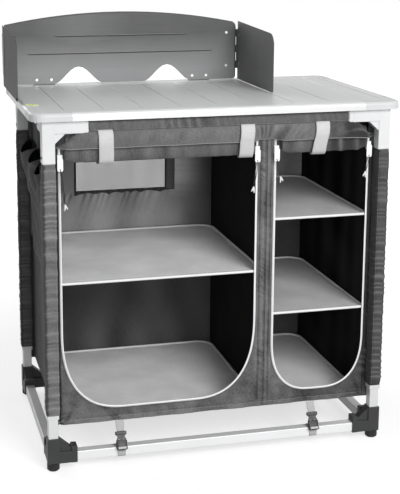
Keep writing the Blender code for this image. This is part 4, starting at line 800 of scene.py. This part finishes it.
def make_band(name, y, seed, node):
    """Cloth drawn round a top rail: a rounded square section carried along X, its size swelling by sharp
    puckers round the rail and softer folds along it, its ends turned in."""
    x = column(-BAND_END, BAND_END, 260)
    turn = turns(40)
    across, up = round_square(turn, BAND_HALF, 0.004)
    pucker = 0.0011 * puckers(x + 0.004 * np.sin(turn), 0.024, seed)
    pucker = pucker * np.clip(0.4 + 0.9 * folds(x, 0.0, 0.16, seed + 7), 0.0, 1.2)
    swell = 1 + (pucker + 0.0005 * folds(x, 0.02 * turn, 0.11, seed + 1)) / BAND_HALF
    swell = swell * (1 - 0.16 * fall(BAND_END - np.abs(x), 0.0, 0.0025))
    points = net(x, y + across * swell, RAIL_Z + up * swell)
    # Painted light and shade: puckers painted paler where they stand out and darker where they sink.
    painted_shading = np.clip(pucker * 420, -0.5, 0.5)
    dress(surface(name, points, CLOTH, closed=ROUND, wall=THIN_WALL, painted_shading=painted_shading), node)
    out = math.copysign(1, y)
    sew(name + "_stitches", net(x[4:-4, 0], y + 0.0137 * out, 0.7786), (0, out, 0))


def make_header():
    """The strip of cloth over the rolled doors, from under the band down to its seam.

    Down the strip y follows a bulge sin(pi t^0.7) over the rolls; between and beside the doors it falls back
    to the panel. Loops pinch it, and puckers gather it between the doors and in the corners.
    """
    x = column(*HEADER_X, 330)
    t = np.linspace(0, 1, 26)
    over = np.maximum(between(x, -0.368, -0.340, 0.076, 0.098), between(x, 0.128, 0.148, 0.345, 0.368))
    corner = rise(np.abs(x), 0.304, 0.366)
    top_y, top_z = -0.2372 + 0.0180 * corner, HEADER_TOP - 0.034 * corner ** 1.5
    low_y = -0.2405 * over - 0.2175 * (1 - over)
    low_z = HEADER_LOW - 0.0003 * np.sin(x * 47) - 0.0030 * rise(x, 0.30, 0.36)
    bulge = arch(t ** 0.7)
    for loop_x in LOOPS:
        bulge = bulge * (1 - 0.35 * bell(x, loop_x, 0.020))
    y = top_y + (low_y - top_y) * t - bulge * (0.0062 * over + 0.0040 * (1 - over) * (1 - corner))
    fan = puckers(x + 0.5 * (t - 0.5) * (x - 0.112), 0.019, 23)
    lift = fan * arch(t ** 0.8) ** 0.7 * (0.0006 + 0.0036 * bell(x, 0.112, 0.045))
    bunch, left_bunch = rise(x, 0.272, 0.325), fall(x, -0.365, -0.325)
    lift += 0.0048 * bunch * folds(x + 0.06 * t, t * 0.05, 0.036, 24, 6, 0.9) * arch(t ** 0.6)
    lift += 0.0022 * left_bunch * folds(x - 0.05 * t, t * 0.03, 0.022, 26, 6, 0.5) * arch(t ** 0.6)
    lift += 0.0012 * folds(x, t * 0.04, 0.060, 27, 7, 0.2) * arch(t)
    points = net(x, y - lift, top_z + (low_z - top_z) * t)
    # Painted light and shade: lifted folds paler, more so right of the middle, the strip paler from just left
    # of the middle on, and painted shade from x 0.24 to the right end and on the right corner's bunched
    # folds.
    painted_shading = (90 + 130 * rise(x, 0.03, 0.09)) * lift + 0.12 + 0.14 * rise(x, -0.13, -0.06)
    painted_shading = np.clip(painted_shading - 0.42 * rise(x, 0.238, 0.265) - 0.6 * bunch, -1.2, 0.7)
    header = dress(surface("door_header", points, CLOTH, wall=FRONT_WALL, painted_shading=painted_shading), "cabinet_front")
    lip = points[:, -1] + 0.0003 * (FORWARD + UP)
    trim(tube("door_header_piping", lip, 0.0009, THREAD))


def make_roll(door, loops, seed):
    """A rolled-up door: one sheet wound on an oval spiral, its ends stepped, with broad puckers.

    The spiral is (depth k cos a, height k sin a) with k growing evenly with a over the turns; the puckers
    scale each turn alike, so that the turns never meet.
    """
    node = f"door_roll_{door}"
    left, right = DOORS[door][:2]
    x = column(left + ROLL_INSET, right - ROLL_INSET, 84)
    a = np.linspace(0, TAU * ROLL_TURNS, 320)
    ends = np.minimum(x - x[0], x[-1] - x)
    wave = folds(x + 0.01 * np.cos(a), np.sin(a) * 0.02, 0.055, seed, 6, 0.15)
    loose = rise(x, 0.245, 0.275)
    bunch = loose * puckers(x + 0.008 * np.cos(a), 0.029, seed + 4)
    taper = 0.82 + 0.18 * rise(ends, 0.0, 0.020)
    grow = (0.20 + 0.80 * a / a[-1]) * taper * (1 + 0.014 * wave + 0.07 * bunch)
    droop = 0.0025 * arch((x - left) / (right - left)) ** 0.5
    flat = 1 - 0.10 * bell(np.sin(a), -0.15, 0.30) * (np.cos(a) > 0)
    points = net(x + 0.0016 * np.sin(a) * fall(ends, 0.0, 0.012) * np.sign(x),
                 ROLL_Y - ROLL_DEEP * grow * np.cos(a) * flat,
                 ROLL_Z + 0.001 - droop * 0.4 - ROLL_HIGH * grow * np.sin(a))
    # Painted light and shade: paler and darker with its folds, paler on its puckers' crests and darker
    # between them, and painted shade on its loose right part.
    painted_shading = np.clip(0.22 * wave - 0.32 * loose + 1.1 * bunch, -0.9, 0.6)
    roll = dress(surface(f"rolled_door_{door}", points, CLOTH, wall=CLOTH_WALL, painted_shading=painted_shading), node)
    for index, loop_x in enumerate(loops):
        make_loop(f"door_loop_{door}_{index}", loop_x)


def make_loop(name, x):
    """A webbing loop from the band's lower edge down in front of the header, round under the roll and up
    behind it, with a slight lean and edges that waver."""
    path = spline([(-0.2385, 0.7790), (-0.2440, 0.7745), (-0.2478, 0.7640), (-0.2476, 0.7500),
                   (-0.2440, 0.7370), (-0.2398, 0.7230), (-0.2345, 0.7090), (-0.2270, 0.7022),
                   (-0.2180, 0.7002), (-0.2090, 0.7035), (-0.2010, 0.7130), (-0.1968, 0.7300),
                   (-0.1975, 0.7520), (-0.2030, 0.7740)], 64)
    y, z = path[:, :1], path[:, 1:]
    across = np.linspace(-1, 1, 11)
    run = np.linspace(0, 1, len(path))[:, None]
    seed = round(abs(x) * 1000)
    lean = 0.0030 * np.sin(run * 5.2 + seed) - 0.0016 * run
    waver = 1 + 0.035 * folds(run, 0, 0.45, seed, 5, 0.0) * np.sign(across)
    crown = 0.0006 * np.cos(across * math.pi / 2) - 0.0010 * across * np.sin(run * 7)
    points = net(x + LOOP_HALF * across * waver + lean, y + crown * np.where(y < ROLL_Y, -1.0, 0.4), z)
    trim(surface(name, points, PALE_WEBBING, wall=WEBBING_WALL))
    tack = np.linspace(-0.0145, 0.0145, 26)
    sew(name + "_tack", net(x + tack + lean[8], -0.2486, 0.7600), FORWARD, TACK)


# Legs, walls and inside

def make_sleeve(name, sx, sy, node):
    """A cloth sleeve on a leg: a rounded square carried up the leg. Close pleats cross it where it is slack,
    broader folds wind round it, and it is drawn in at the top socket and at the stop ring."""
    right, rear = sx > 0, sy > 0
    z = column(SLEEVE_LOW, SLEEVE_HIGH, 400)
    turn = turns(44)
    across, deep = round_square(turn, 1.0, 0.30)
    seed = 31 + 2 * right + rear
    slack = 0.55 + 0.6 * folds(z, turn * 0.01, 0.22, seed + 9) + 0.3 * rise(0.42 - z, 0.0, 0.12)
    slack = np.clip(slack, 0.7 if right else 0.2, 1.2)
    cross = pleats(z + 0.0016 * (np.sin(turn + seed) + np.cos(2 * turn)), 0.0150, seed) ** 1.6 - 0.22
    wind = folds(z + 0.020 * turn / TAU, np.cos(turn) * 0.006, 0.052, seed + 2, 8, 0.25)
    half = SLEEVE_HALF + (0.0012 + 0.0004 * right) * cross * slack + 0.0005 * wind
    half += 0.0004 * folds(z, turn * 0.02, 0.11, seed + 4)
    half -= 0.0014 * fall(SLEEVE_HIGH - z, 0.0, 0.012) + 0.0010 * fall(z - SLEEVE_LOW, 0.0, 0.010)
    points = net(sx * LEG_X + half * across, sy * LEG_Y + half * deep, z)
    # Painted light and shade: pleat crests paler where the sleeve is slack, paler and darker with its winding
    # folds, painted shade on its outward side face, and on the front right sleeve on its left face too.
    painted_shading = (0.62 + 0.3 * right) * cross * slack + 0.16 * wind - 0.60 * rise(sx * across, 0.55, 0.9)
    painted_shading -= 0.75 * rise(-across, 0.55, 0.80) * (right and not rear)
    look = REAR_SLEEVE_CLOTH if rear else SHADED_RIGHT_SLEEVE_CLOTH if right else SLEEVE_CLOTH
    painted_shading = np.clip(painted_shading, -0.9, 0.7)
    dress(surface(name, points, look, closed=ROUND, wall=CLOTH_WALL, painted_shading=painted_shading), node)
    for face, dx, dy in (("front", 0, sy), ("side", sx, 0)):
        line = net(sx * LEG_X + 0.0163 * dx - SLEEVE_SEAM * (sx - dx),
                   sy * LEG_Y + 0.0163 * dy - SLEEVE_SEAM * (sy - dy), z[3:-3, 0])
        sew(f"{name}_stitches_{face}", line, (dx, dy, 0))


def make_side_wall(hand, sx):
    """A side wall with slow folds that hang from its top, its outer face plain cloth and its inner one black,
    and the flap that it turns in under the worktop."""
    name, left = f"side_wall_{hand}", sx < 0
    y = column(-0.2140, 0.2290, 120)
    z = np.linspace(WALL_LOW, 0.7760, 150)
    hold = np.sqrt(np.maximum(arch((y + 0.214) / 0.443), 0.0))
    hang = 0.25 + 0.75 * rise(z, 0.10, 0.72)
    out = 0.0016 * folds(y, z * 0.12, 0.13, 41 if left else 42, 6, 0.05) * hang
    out = np.clip((out + 0.0007 * folds(y, z, 0.22, 45)) * hold, -0.0016, 0.0005 if left else 0.0030)
    # Painted light and shade: paler where its folds stand out, darker where they sink in.
    wall = dress(surface(name, net(sx * (WALL_X + out), y, z)[::sx], SIDE_CLOTH, wall=CLOTH_WALL,
                         lining=BLACK_LINING, painted_shading=np.clip(260 * out, -0.5, 0.5)[::sx]), "cabinet_shell")
    y = column(-0.1565, 0.1565, 80)
    t = np.linspace(0, 1, 30)
    points = net(sx * (LEG_X - 0.0210 + 0.0210 * t ** 0.4), y, 0.7738 + 0.0006 * folds(y, t * 0.02, 0.05, 47))
    dress(surface(name + "_flap", points, SIDE_CLOTH, wall=LIGHT_WALL), "cabinet_shell")


def rear_relief(x, z):
    """The rear cloth's depth: slow folds, and gathers below the window's hem and to the right of it."""
    under, past = WINDOW_Z[0] - z, x - WINDOW_X[1]
    below = rise(under, 0.003, 0.010) * np.exp(-np.maximum(under, 0) / 0.024)
    span = between(x, -0.345, -0.31, -0.06, 0.02) * (1.3 - 2.2 * np.clip(x + 0.3, 0, 0.35))
    beside = rise(past, 0.0, 0.02) * np.exp(-np.maximum(past, 0) / 0.05) * rise(z, 0.50, 0.56)
    return (0.0010 * folds(x, z * 0.5, 0.15, 51)
            + 0.0060 * below * span * puckers(x + 0.35 * under, 0.021, 53)
            + 0.0022 * beside * puckers(z + 0.08 * x, 0.023, 55))


def round_of(low, high):
    """Points round a rectangle, from its low corner."""
    corners = np.array([low, (high[0], low[1]), high, (low[0], high[1])])
    steps = np.linspace(0, 1, 110, endpoint=False)[:, None]
    return np.concatenate([a + (b - a) * steps for a, b in zip(corners, np.roll(corners, -1, 0))])


def make_rear_wall():
    """The rear cloth as a ring of net round the window, and the window's hem strip."""
    low, high = np.transpose([WINDOW_X, WINDOW_Z])
    inner, outer = round_of(low, high), round_of((-PANEL_HALF, WALL_LOW), (PANEL_HALF, 0.7730))
    flat = inner[:, None] + (outer - inner)[:, None] * column(0, 1, 56) ** 1.3
    x, z = flat[..., 0], flat[..., 1]
    relief = rear_relief(x, z)
    # Painted light and shade, on both faces of the cloth: darker where its gathers go rearwards and paler
    # where they come forwards, a painted pool of light right of the window's top, and painted crumples of
    # paler and darker stripes in the middle right room.
    painted_crumple_shading = between(x, 0.113, 0.120, 0.200, 0.215) * between(z, 0.34, 0.36, 0.52, 0.545)
    painted_shading = -190 * relief + 0.75 * between(x, -0.012, 0.005, 0.03, 0.10) * rise(z, 0.50, 0.58)
    painted_shading = np.clip(painted_shading + 1.2 * painted_crumple_shading * (pleats(0.6 * z + 1.3 * x, 0.040, 58) - 0.25), -0.7, 0.9)
    wall = dress(surface("rear_cloth", net(x, WALL_REAR + relief, z), REAR_CLOTH, closed=(True, False),
                         wall=CLOTH_WALL, lining=REAR_LINING, painted_shading=painted_shading), "cabinet_shell")
    strip = np.array([[-0.0010, -0.0009], [-0.0010, 0.0011], [0.0030, 0.0016], [0.0110, 0.0015],
                      [0.0125, 0.0008], [0.0125, -0.0008], [0.0110, -0.0014], [0.0030, -0.0016]])
    away = inner - (low + high) / 2
    facing = np.where(np.abs(np.abs(away) - (high - low) / 2) < 1e-6, np.sign(away), 0.0)
    right = facing[:, 0] > 0
    x, z = inner.T
    side = net(facing[:, 0] * np.where(right, 2.0, 0.35), 0.0,
               facing[:, 1] * (0.45 + 0.5 * pleats(x, 0.034, 54)))
    # Painted light and shade on the hem strip: on its right side its edges painted darker and its faces
    # paler, on the others darker overall and paler on their pleats.
    painted_shading = np.where(right[:, None], np.array([-0.6, -0.6, 0.3, 0.1, -0.5, -0.5, 0.1, 0.3]),
                    -0.45 + 0.3 * pleats(x, 0.016, 56)[:, None])
    points = swept(net(x, WALL_REAR + rear_relief(x, z), z), side, FORWARD, strip[None])
    dress(surface("window_hem", points, WINDOW_HEM_CLOTH, closed=(True, True), weld=True, painted_shading=painted_shading),
          "cabinet_shell")


def make_window_net():
    """The window's net: flat threads both ways, each a four-sided strip that sags in the middle."""
    wide, proud = NET_HALF * np.array([-1, 0, 1, 0]), NET_THICK * np.array([0, 1, 0, -1])
    threads = []
    for lift, (low, high), (start, end) in ((0.0002, WINDOW_Z, WINDOW_X), (-0.0002, WINDOW_X, WINDOW_Z)):
        length, width = high - low, end - start
        count = int(width / NET_PITCH)
        station = column(-0.002, length + 0.002, 24)
        across = start + (np.arange(count)[:, None, None] + 0.5) * width / count + wide
        depth = WALL_REAR + lift + 0.0012 * arch(np.clip(station / length, 0, 1)) + proud
        threads.append(net(across, depth, low + station) if lift > 0 else net(low + station, depth, across))
    dress(rods("window_net", np.concatenate(threads), NET_THREAD), "cabinet_shell")


def make_inside_cloth():
    """The divider between the compartments and the floor cloth, each a sheet with slow folds."""
    y = column(-0.2108, 0.2265, 80)
    z = np.linspace(0.1062, 0.7738, 110)
    x = DIVIDER_X + 0.0012 * folds(y, z * 0.2, 0.15, 61) * arch((y + 0.2108) / 0.4373)
    divider = dress(surface("divider_cloth", net(x, y, z), BLACK_LINING, wall=FRONT_WALL), "cabinet_divider")
    x = column(-0.3655, 0.3655, 90)
    y = np.linspace(-0.2112, WALL_REAR, 60)
    z = 0.0992 - 0.0004 * (1 + folds(x, y, 0.2, 63)) * np.cos(math.pi * y / 0.5)
    floor = dress(surface("floor_cloth", net(x, y, z), SIDE_CLOTH, wall=CLOTH_WALL), "cabinet_shell")


def board_outline(node, inset):
    """A board's outline seen from above: a rectangle with small front and large rear corners."""
    low, high = (np.array(corner)[:2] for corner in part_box(node))
    arcs = []
    for k, (sides, radius) in enumerate(zip(((1, 0), (1, 1), (0, 1), (0, 0)), BOARD_CORNERS)):
        turn = np.linspace(0, math.pi / 2, 26) + (k - 1) * math.pi / 2
        centre = np.where(sides, high - inset - radius, low + inset + radius)
        arcs.append(centre + radius * net(np.cos(turn), np.sin(turn)))
    edge = np.linspace(0, 1, 30, endpoint=False)[1:, None]
    return np.concatenate([part for arc, after in zip(arcs, arcs[1:] + arcs[:1])
                           for part in (arc, arc[-1] + (after[0] - arc[-1]) * edge)])


def make_board(node, seed):
    """A shelf or floor board in its cloth: nets from the outline to the middle above and below, the cloth
    rounding over the edge, faint drape lines on top, and white piping round the edge."""
    low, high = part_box(node)
    shelf = node.startswith("shelf")
    outline = board_outline(node, COVER_INSET)
    middle = np.array([low.x + high.x, low.y + high.y]) / 2
    reach = outline - middle
    rings = (0.0, 0.15, 0.3, 0.45, 0.6, 0.72, 0.82, 0.9, 0.95, 0.98, 0.995)
    rows = []
    for s in rings:
        x, y = (middle + reach * s).T
        wave = 0.00028 * folds(x, y, 0.12, seed) * math.sin(math.pi * s) ** 0.5
        rows.append(net(x, y, high.z - 0.0006 - 0.0009 * s ** 12 + wave))
    for a in np.linspace(0.25, math.pi - 0.25, 7):
        x, y = (outline + unit(reach) * 0.0008 * math.sin(a)).T
        rows.append(net(x, y, (low.z + high.z) / 2 + ((high.z - low.z) / 2 - 0.0009) * math.cos(a)))
    rows += [net(*(middle + reach * s).T, low.z + 0.0003) for s in rings[::-1]]
    look = BOARD_CLOTH["right" if node.startswith("shelf_right") else "left"]
    dress(surface(node + "_cover", np.stack(rows), look, closed=ROUND, weld=True), node)
    x, y = board_outline(node, PIPING_INSET).T
    front = fall(y - low.y, 0.004, 0.020)
    path = net(x, y + (0.0 if shelf else 0.0030) * front, high.z + 0.0003 - 0.0029 * front)
    radius = PIPING_RADIUS + (0.0008 if shelf else -0.0004) * front
    trim(tube(node + "_piping", path, radius, WHITE_PIPING, 10, True))
    seam = board_outline(node, BOARD_SEAM_INSET)
    sew(node + "_stitches", net(*seam.T, high.z - 0.0008), UP)


def make_organiser():
    """The organiser on the left wall: a back cloth, and a front cloth whose three pockets bulge and whose
    mouths gape and sag; the bulge is a sine across each pocket, largest at its mouth."""
    y = column(-0.196, 0.196, 100)
    z = 0.402 + (0.288 - 0.004 * (0.196 - y) / 0.392) * np.linspace(0, 1, 60)
    x = ORGANISER_X - 0.0002 + np.clip(folds(y, z, 0.12, 71) * 0.0004, -0.0004, 0.0003)
    back = dress(surface("organiser_back", net(x, y, z), BLACK_LINING, wall=LIGHT_WALL), "side_pocket")
    y = column(-POCKETS_HALF, POCKETS_HALF, 217)
    t = np.linspace(0, 1, 90)
    belly = arch(np.where(y > POCKETS_HALF - 0.0001, 1.0, ((y + POCKETS_HALF) / POCKET_WIDTH) % 1.0))
    mouth = POCKETS_MOUTH - 0.004 * (POCKETS_HALF - y) / (2 * POCKETS_HALF) - 0.020 * belly ** 1.4
    z = POCKETS_LOW + (mouth - POCKETS_LOW) * t
    slant = pleats(0.84 * (z - 0.64 * y), 0.062, 73)
    out = belly ** 0.7 * (0.0040 * arch(np.minimum(t * 1.4, 1)) + 0.0335 * rise(t, 0.40, 1.0))
    out = out + 0.0050 * (slant - 0.3) * belly ** 0.5 * rise(t, 0.02, 0.25)
    points = net(ORGANISER_X - 0.0011 - np.maximum(out, 0.0), y, z)
    # Painted light and shade: the pockets' slanting pleats paler on their crests and darker between them.
    front = dress(surface("organiser_pockets", points[::-1], SIDE_CLOTH, wall=CLOTH_WALL, lining=BLACK_LINING,
                          painted_shading=np.clip(slant - 0.4, -0.5, 0.6)[::-1]), "side_pocket")
    trim(tube("organiser_binding", points[:, -1] + 0.0004 * UP, 0.0013, HEM_CLOTH))
    sew("organiser_stitches", points[:, 3] - np.array([0.0007, 0.0, 0.0]), (-1, 0, 0))
    s = column(0, 1, 30)
    across = np.linspace(-0.0085, 0.0085, 7)
    for index, side_y in enumerate((-0.186, -0.064, 0.065, 0.186)):
        low = POCKETS_MOUTH - 0.002 - 0.004 * (POCKETS_HALF - side_y) / (2 * POCKETS_HALF)
        points = net(ORGANISER_X - 0.0012 - 0.0022 * arch(s), side_y + across + 0.004 * s,
                     low + (0.752 - low) * s)
        trim(surface(f"organiser_hanger_{index}", points, HEM_CLOTH, wall=FRONT_WALL))


# Straps, sliders and small parts

def tilted(x, side, deep, up):
    """A point beside a strap's foot, in the strap's own tilted frame."""
    y = STRAP_FOOT[0] + deep * math.cos(TILT) + up * math.sin(TILT)
    z = STRAP_FOOT[1] - deep * math.sin(TILT) + up * math.cos(TILT)
    return net(x + side, y, z)


def make_strap(side, x):
    """Webbing from the hem to the free half of the buckle, the fixed half, and the loop round the rail."""
    node = f"buckle_female_{side}"
    up = column(0.0341, HEM_STRAP_END, 26)
    across = np.linspace(-1, 1, 9)
    points = tilted(x, HEM_STRAP_HALF * across * (1 - 0.10 * bell(up, 0.036, 0.004)),
                    STRAP_DEPTH + 0.0003 * np.cos(across * 1.5), up)
    strap = surface(f"hem_webbing_{side}", points, SHADED_STRAP_WEBBING, wall=STRAP_WALL)
    dress(strap, f"strap_upper_{side}")
    tuple(tilted(x, 0.0, STRAP_DEPTH, HEM_STRAP_END))
    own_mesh(strap)
    up = column(-1, 1, 30)
    end = np.maximum(1 - np.abs(up) ** 9, 0.0) ** (1 / 3)
    wide, deep = round_square(turns(40), 1.0, 0.5)
    shell = tilted(x, BUCKLE_HALF * wide * end * (1 - 0.05 * np.cos(up * 3.0)),
                   STRAP_DEPTH + BUCKLE_THICK * deep * end, 0.00325 + BUCKLE_TALL * up)
    dress(surface(f"buckle_body_{side}", shell, BUCKLE_PLASTIC, closed=ROUND, weld=True), node)
    rib = np.linspace(-1, 1, 16)
    for index, centre in enumerate((0.0085, 0.0115)):
        line = tilted(x, 0.0075 * rib, -0.0073, centre - 0.0012 * np.cos(rib * 1.5))
        trim(tube(f"buckle_rib_{side}_{index}", line, 0.00055, BUCKLE_PLASTIC))
    turn = column(-0.7, 0.7, 14) * math.pi
    bar = tilted(x, STRAP_HALF * across, -0.0046 - 0.0036 * np.cos(turn), -0.0035 + 0.0026 * np.sin(turn))
    trim(surface(f"buckle_webbing_{side}", bar, PALE_WEBBING, wall=WEBBING_WALL))
    deep, high = round_square(turns(64)[:, None], 0.01205, 0.0030)
    points = net(x + STRAP_HALF * across, deep - LEG_Y, RAIL_LOW_Z + high)
    trim(surface(f"rail_loop_{side}", points, SHADED_STRAP_WEBBING, closed=(True, False), wall=RAIL_LOOP_WALL))
    tack = np.linspace(-0.0085, 0.0085, 20)
    for index, z in enumerate((0.0225, 0.0255)):
        sew(f"strap_tack_{side}_{index}", net(x + tack, -LEG_Y - 0.0127, z), FORWARD, STRAP_TACK)


def make_slider_cords():
    """Each slider's cord loop through its tab, and the knot on it with two short tails."""
    for index, (x, lean, length) in enumerate(((-0.3599, 0.12, 0.080), (0.0895, -0.14, 0.062),
                                               (0.1352, 0.22, 0.042), (0.3591, -0.20, 0.040)), 1):
        node, body = f"zip_slider_{index}", f"slider_{index}"
        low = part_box(node)[0]
        hole = np.array([x, low.y + 0.0010, low.z + 0.0042])
        knot = hole + np.array([math.sin(lean) * length, -0.0006, -math.cos(lean) * length])
        t = column(0.0, 1.0, 9)
        bow = np.array([math.cos(lean), 0.0, math.sin(lean)]) * 0.0016 * arch(t)
        there = hole + (knot - hole) * t + bow + 0.0016 * FORWARD * (1 - t)
        back = knot + (hole - knot) * t - bow - 0.0014 * FORWARD * t
        path = spline(np.concatenate([there, back[1:]]), 40)
        loop = trim(tube(f"slider_cord_{index}", path, 0.00075, CORD, up=(0, 1, 0)), body)
        s = column(0, 1, 14)
        for tail, spread in enumerate((-0.16, 0.42)):
            heading = lean * 0.6 + spread * math.copysign(1, lean)
            reach = (0.0135 - 0.002 * tail) * np.array([math.sin(heading), 0.0, -math.cos(heading)])
            line = knot + reach * s + 0.0005 * FORWARD * arch(s)
            radius = 0.0009 + 0.0011 * arch(np.clip(s[:, 0] * 0.9 + 0.1, 0, 1)) ** 0.6
            end = tube(f"slider_end_{index}_{tail}", line, radius, WHITE_CORD, 10, up=(0, 1, 0))
            trim(end, body)
        knob = np.linspace(0, math.pi, 10)
        ball = lathe(f"slider_knot_{index}", 0.0021 * net(np.sin(knob), -np.cos(knob)), knot, (0, 0, 1),
                     WHITE_CORD, 14)
        trim(ball, body)


def make_level():
    """The small level in the worktop's left rim: a rounded vial in a pale frame, half sunk in the metal,
    with two dark marks across it."""
    centre = np.array([-0.4060, -0.1210, 0.8200])
    heading = math.radians(-31)
    along = np.array([math.cos(heading), math.sin(heading), 0.0])
    side = np.array([-along[1], along[0], 0.0])
    f = Finish("level_liquid", 0.12, coat=0.6)
    bubble = f.ramp(f.noise(160.0, detail=1.0), 0, 1, 0.35, 0.65)
    f.put(f.blend(bubble, (0.62, 0.72, 0.10, 1.0), (0.74, 0.82, 0.22, 1.0)), f.inputs["Base Color"])
    u, v = np.linspace(-math.pi / 2, math.pi / 2, 24)[:, None, None], turns(24)[:, None]
    run, ring = np.sign(np.sin(u)) * np.abs(np.sin(u)) ** 0.6, np.abs(np.cos(u)) ** 0.5
    for name, length, width, height, look in (("level_frame", 0.0190, 0.0072, 0.0008, PALE_PLASTIC),
                                              ("level_vial", 0.0160, 0.0056, 0.0024, f.paint)):
        points = (centre + length * run * along + width * ring * np.cos(v) * side
                  + height * ring * np.sin(v) * UP)
        trim(surface(name, points, look, closed=ROUND, weld=True))
    turn = column(0, math.pi, 12)
    for index, offset in enumerate((-0.0035, 0.0035)):
        line = centre + offset * along + 0.0057 * np.cos(turn) * side + 0.0025 * np.sin(turn) * UP
        trim(tube(f"level_mark_{index}", line, 0.00022, SCREW_BLACK, 6, up=along))


def make_screws():
    """Black round-headed screws in the top corners: a dome with a recess pressed into it."""
    dome = [(0.0, 0.0009), (0.0006, 0.0009), (0.0007, 0.0017), (0.0014, 0.0019), (0.0024, 0.0015),
            (0.0031, 0.0007), (0.0032, -0.0002), (0.0, -0.0002)]
    places = []
    for sx in (-1, 1):
        for sy in (-1, 1):
            face, y = sx * (LEG_X + 0.0141), sy * LEG_Y
            places.append(((face, y, 0.7205), (sx, 0, 0)))
            places.append(((sx * LEG_X, y + 0.0141, 0.7205), (0, 1, 0)) if sy > 0 else
                          ((face, y + 0.0700, 0.7830), (sx, 0, 0)))
    for index, (centre, axis) in enumerate(places):
        trim(lathe(f"corner_screw_{index}", dome, centre, axis, SCREW_BLACK, 18))


def make_beads():
    """The two pressed beads of the windshield, drawn as a painted shadow line with a painted highlight over
    it.
    """
    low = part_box("windshield_panel")[0]
    fade = arch(np.linspace(0, 1, 60)) ** 0.12
    for name, start, end, height in (("lower", 0.0555, 0.5376, 0.0750), ("upper", 0.1256, 0.4685, 0.1185)):
        x = low.x + np.linspace(start, end, 60)
        for part, lift, radius, look in (("painted_hollow_shade", 0.0, 0.00115, BEAD_DARK),
                                         ("painted_crest_highlight", 0.0017, 0.00065, BEAD_HIGHLIGHT)):
            path = net(x, low.y + 0.0002, low.z + height + lift)
            trim(tube(f"bead_{name}_{part}", path, radius * fade, look), "windshield")


def make_wing_foot():
    """The black foot that the left wing stands on at its front: a rounded block on the sheet's
    outer face, flush inside, so that the wing still folds flat."""
    low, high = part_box("windshield_wing_left")
    u = column(-math.pi / 2, math.pi / 2, 20)
    across, tall = round_square(turns(28), 1.0, 0.45)
    ring = np.abs(np.cos(u)) ** 0.4
    points = net((low.x + high.x) / 2 - 0.0014 + 0.0020 * across * ring, low.y + 0.015 + 0.0075 * np.sin(u),
                 low.z + 0.0047 + 0.0040 * tall * ring)
    foot = surface("wing_foot", points, RUBBER, closed=ROUND, weld=True)
    trim(foot, "wing_left")


# Studio

def make_studio():
    """Pale floor and white surround, an even fill, a large soft lamp high in front, one low, one behind."""
    scene = bpy.context.scene
    scene.view_settings.view_transform = 'Standard'
    scene.world = bpy.data.worlds.new("studio")
    sky = Nodes(scene.world)
    back = sky.tree.nodes["Background"].inputs
    sky.put((1, 1, 1, 1), back["Color"])
    sky.put(sky.ramp(sky.rays("Camera", "Glossy", "Transmission"), 0.31, 1.0), back["Strength"])

    mesh = bpy.data.meshes.new("floor")
    reach = 9.0
    mesh.from_pydata([(x * reach, y * reach, -0.0006) for x, y in ((-1, -1), (1, -1), (1, 1), (-1, 1))], [],
                     [(0, 1, 2, 3)])
    floor = bpy.data.objects.new("floor", mesh)
    scene.collection.objects.link(floor)
    paint = bpy.data.materials.new("studio_floor")
    f = Nodes(paint)
    f.tree.nodes.remove(f.tree.nodes["Principled BSDF"])
    place = f.node("TexCoord", (), "Object")
    far = f.node("VectorMath", ((0, place),), "Value", operation='LENGTH')
    glow = f.node("Emission", (("Strength", f.rays("Camera", "Glossy") * f.ramp(far, 0.66, 1.0, 0.7, 2.6)),))
    both = f.node("AddShader", ((0, f.node("BsdfDiffuse", (("Color", (0.45, 0.45, 0.45, 1)),))), (1, glow)))
    f.put(both, f.tree.nodes["Material Output"].inputs["Surface"])
    mesh.materials.append(paint)

    for name, place, size, power in (("high_lamp", (1.00, -3.80, 2.90), 1.9, 146.0),
                                     ("low_lamp", (-0.20, -4.30, 1.30), 2.2, 60.0),
                                     ("rear_lamp", (-1.90, 3.40, 2.50), 2.4, 70.0)):
        lamp = bpy.data.lights.new(name, 'AREA')
        lamp.size = size
        lamp.energy = power
        thing = bpy.data.objects.new(name, lamp)
        scene.collection.objects.link(thing)
        thing.location = place
        thing.rotation_euler = (Vector((0, 0, 0.5)) - thing.location).to_track_quat('-Z', 'Y').to_euler()


def make_camera():
    """The photograph's view. The picture's long side spans the sensor, so that
    lens = focal pixels * sensor / long side."""
    data = bpy.data.cameras.new("camera")
    data.sensor_width = SENSOR
    data.lens = CAMERA_PIXELS * SENSOR / max(PICTURE)
    data.shift_x, data.shift_y = CAMERA_SHIFT
    data.clip_end = 60.0
    thing = bpy.data.objects.new("camera", data)
    bpy.context.scene.collection.objects.link(thing)
    thing.location = CAMERA_AT
    thing.rotation_euler = (math.radians(90 - CAMERA_PITCH), 0.0, math.radians(-CAMERA_YAW))
    bpy.context.scene.camera = thing


make_camera()
make_studio()
dress_nodes()
make_slider_cords()
make_front_panel()
make_zips()
make_middle_seam()
make_band("front_band", -LEG_Y, 21, "cabinet_front")
make_band("rear_band", LEG_Y, 25, "cabinet_shell")
make_header()
make_roll("left", LOOPS[:2], 81)
make_roll("right", LOOPS[2:], 83)
for end, sy, host in (("front", -1, "cabinet_front"), ("rear", 1, "cabinet_shell")):
    for hand, sx in (("left", -1), ("right", 1)):
        make_sleeve(f"sleeve_{end}_{hand}", sx, sy, host)
make_side_wall("left", -1)
make_side_wall("right", 1)
make_rear_wall()
make_window_net()
make_inside_cloth()
for board_index, board_node in enumerate(("floor_board_left", "floor_board_right", "shelf_left",
                                          "shelf_right_lower", "shelf_right_upper")):
    make_board(board_node, 90 + board_index)
make_organiser()
for hand, strap_x in STRAPS.items():
    make_strap(hand, strap_x)
make_level()
make_screws()
make_beads()
make_wing_foot()
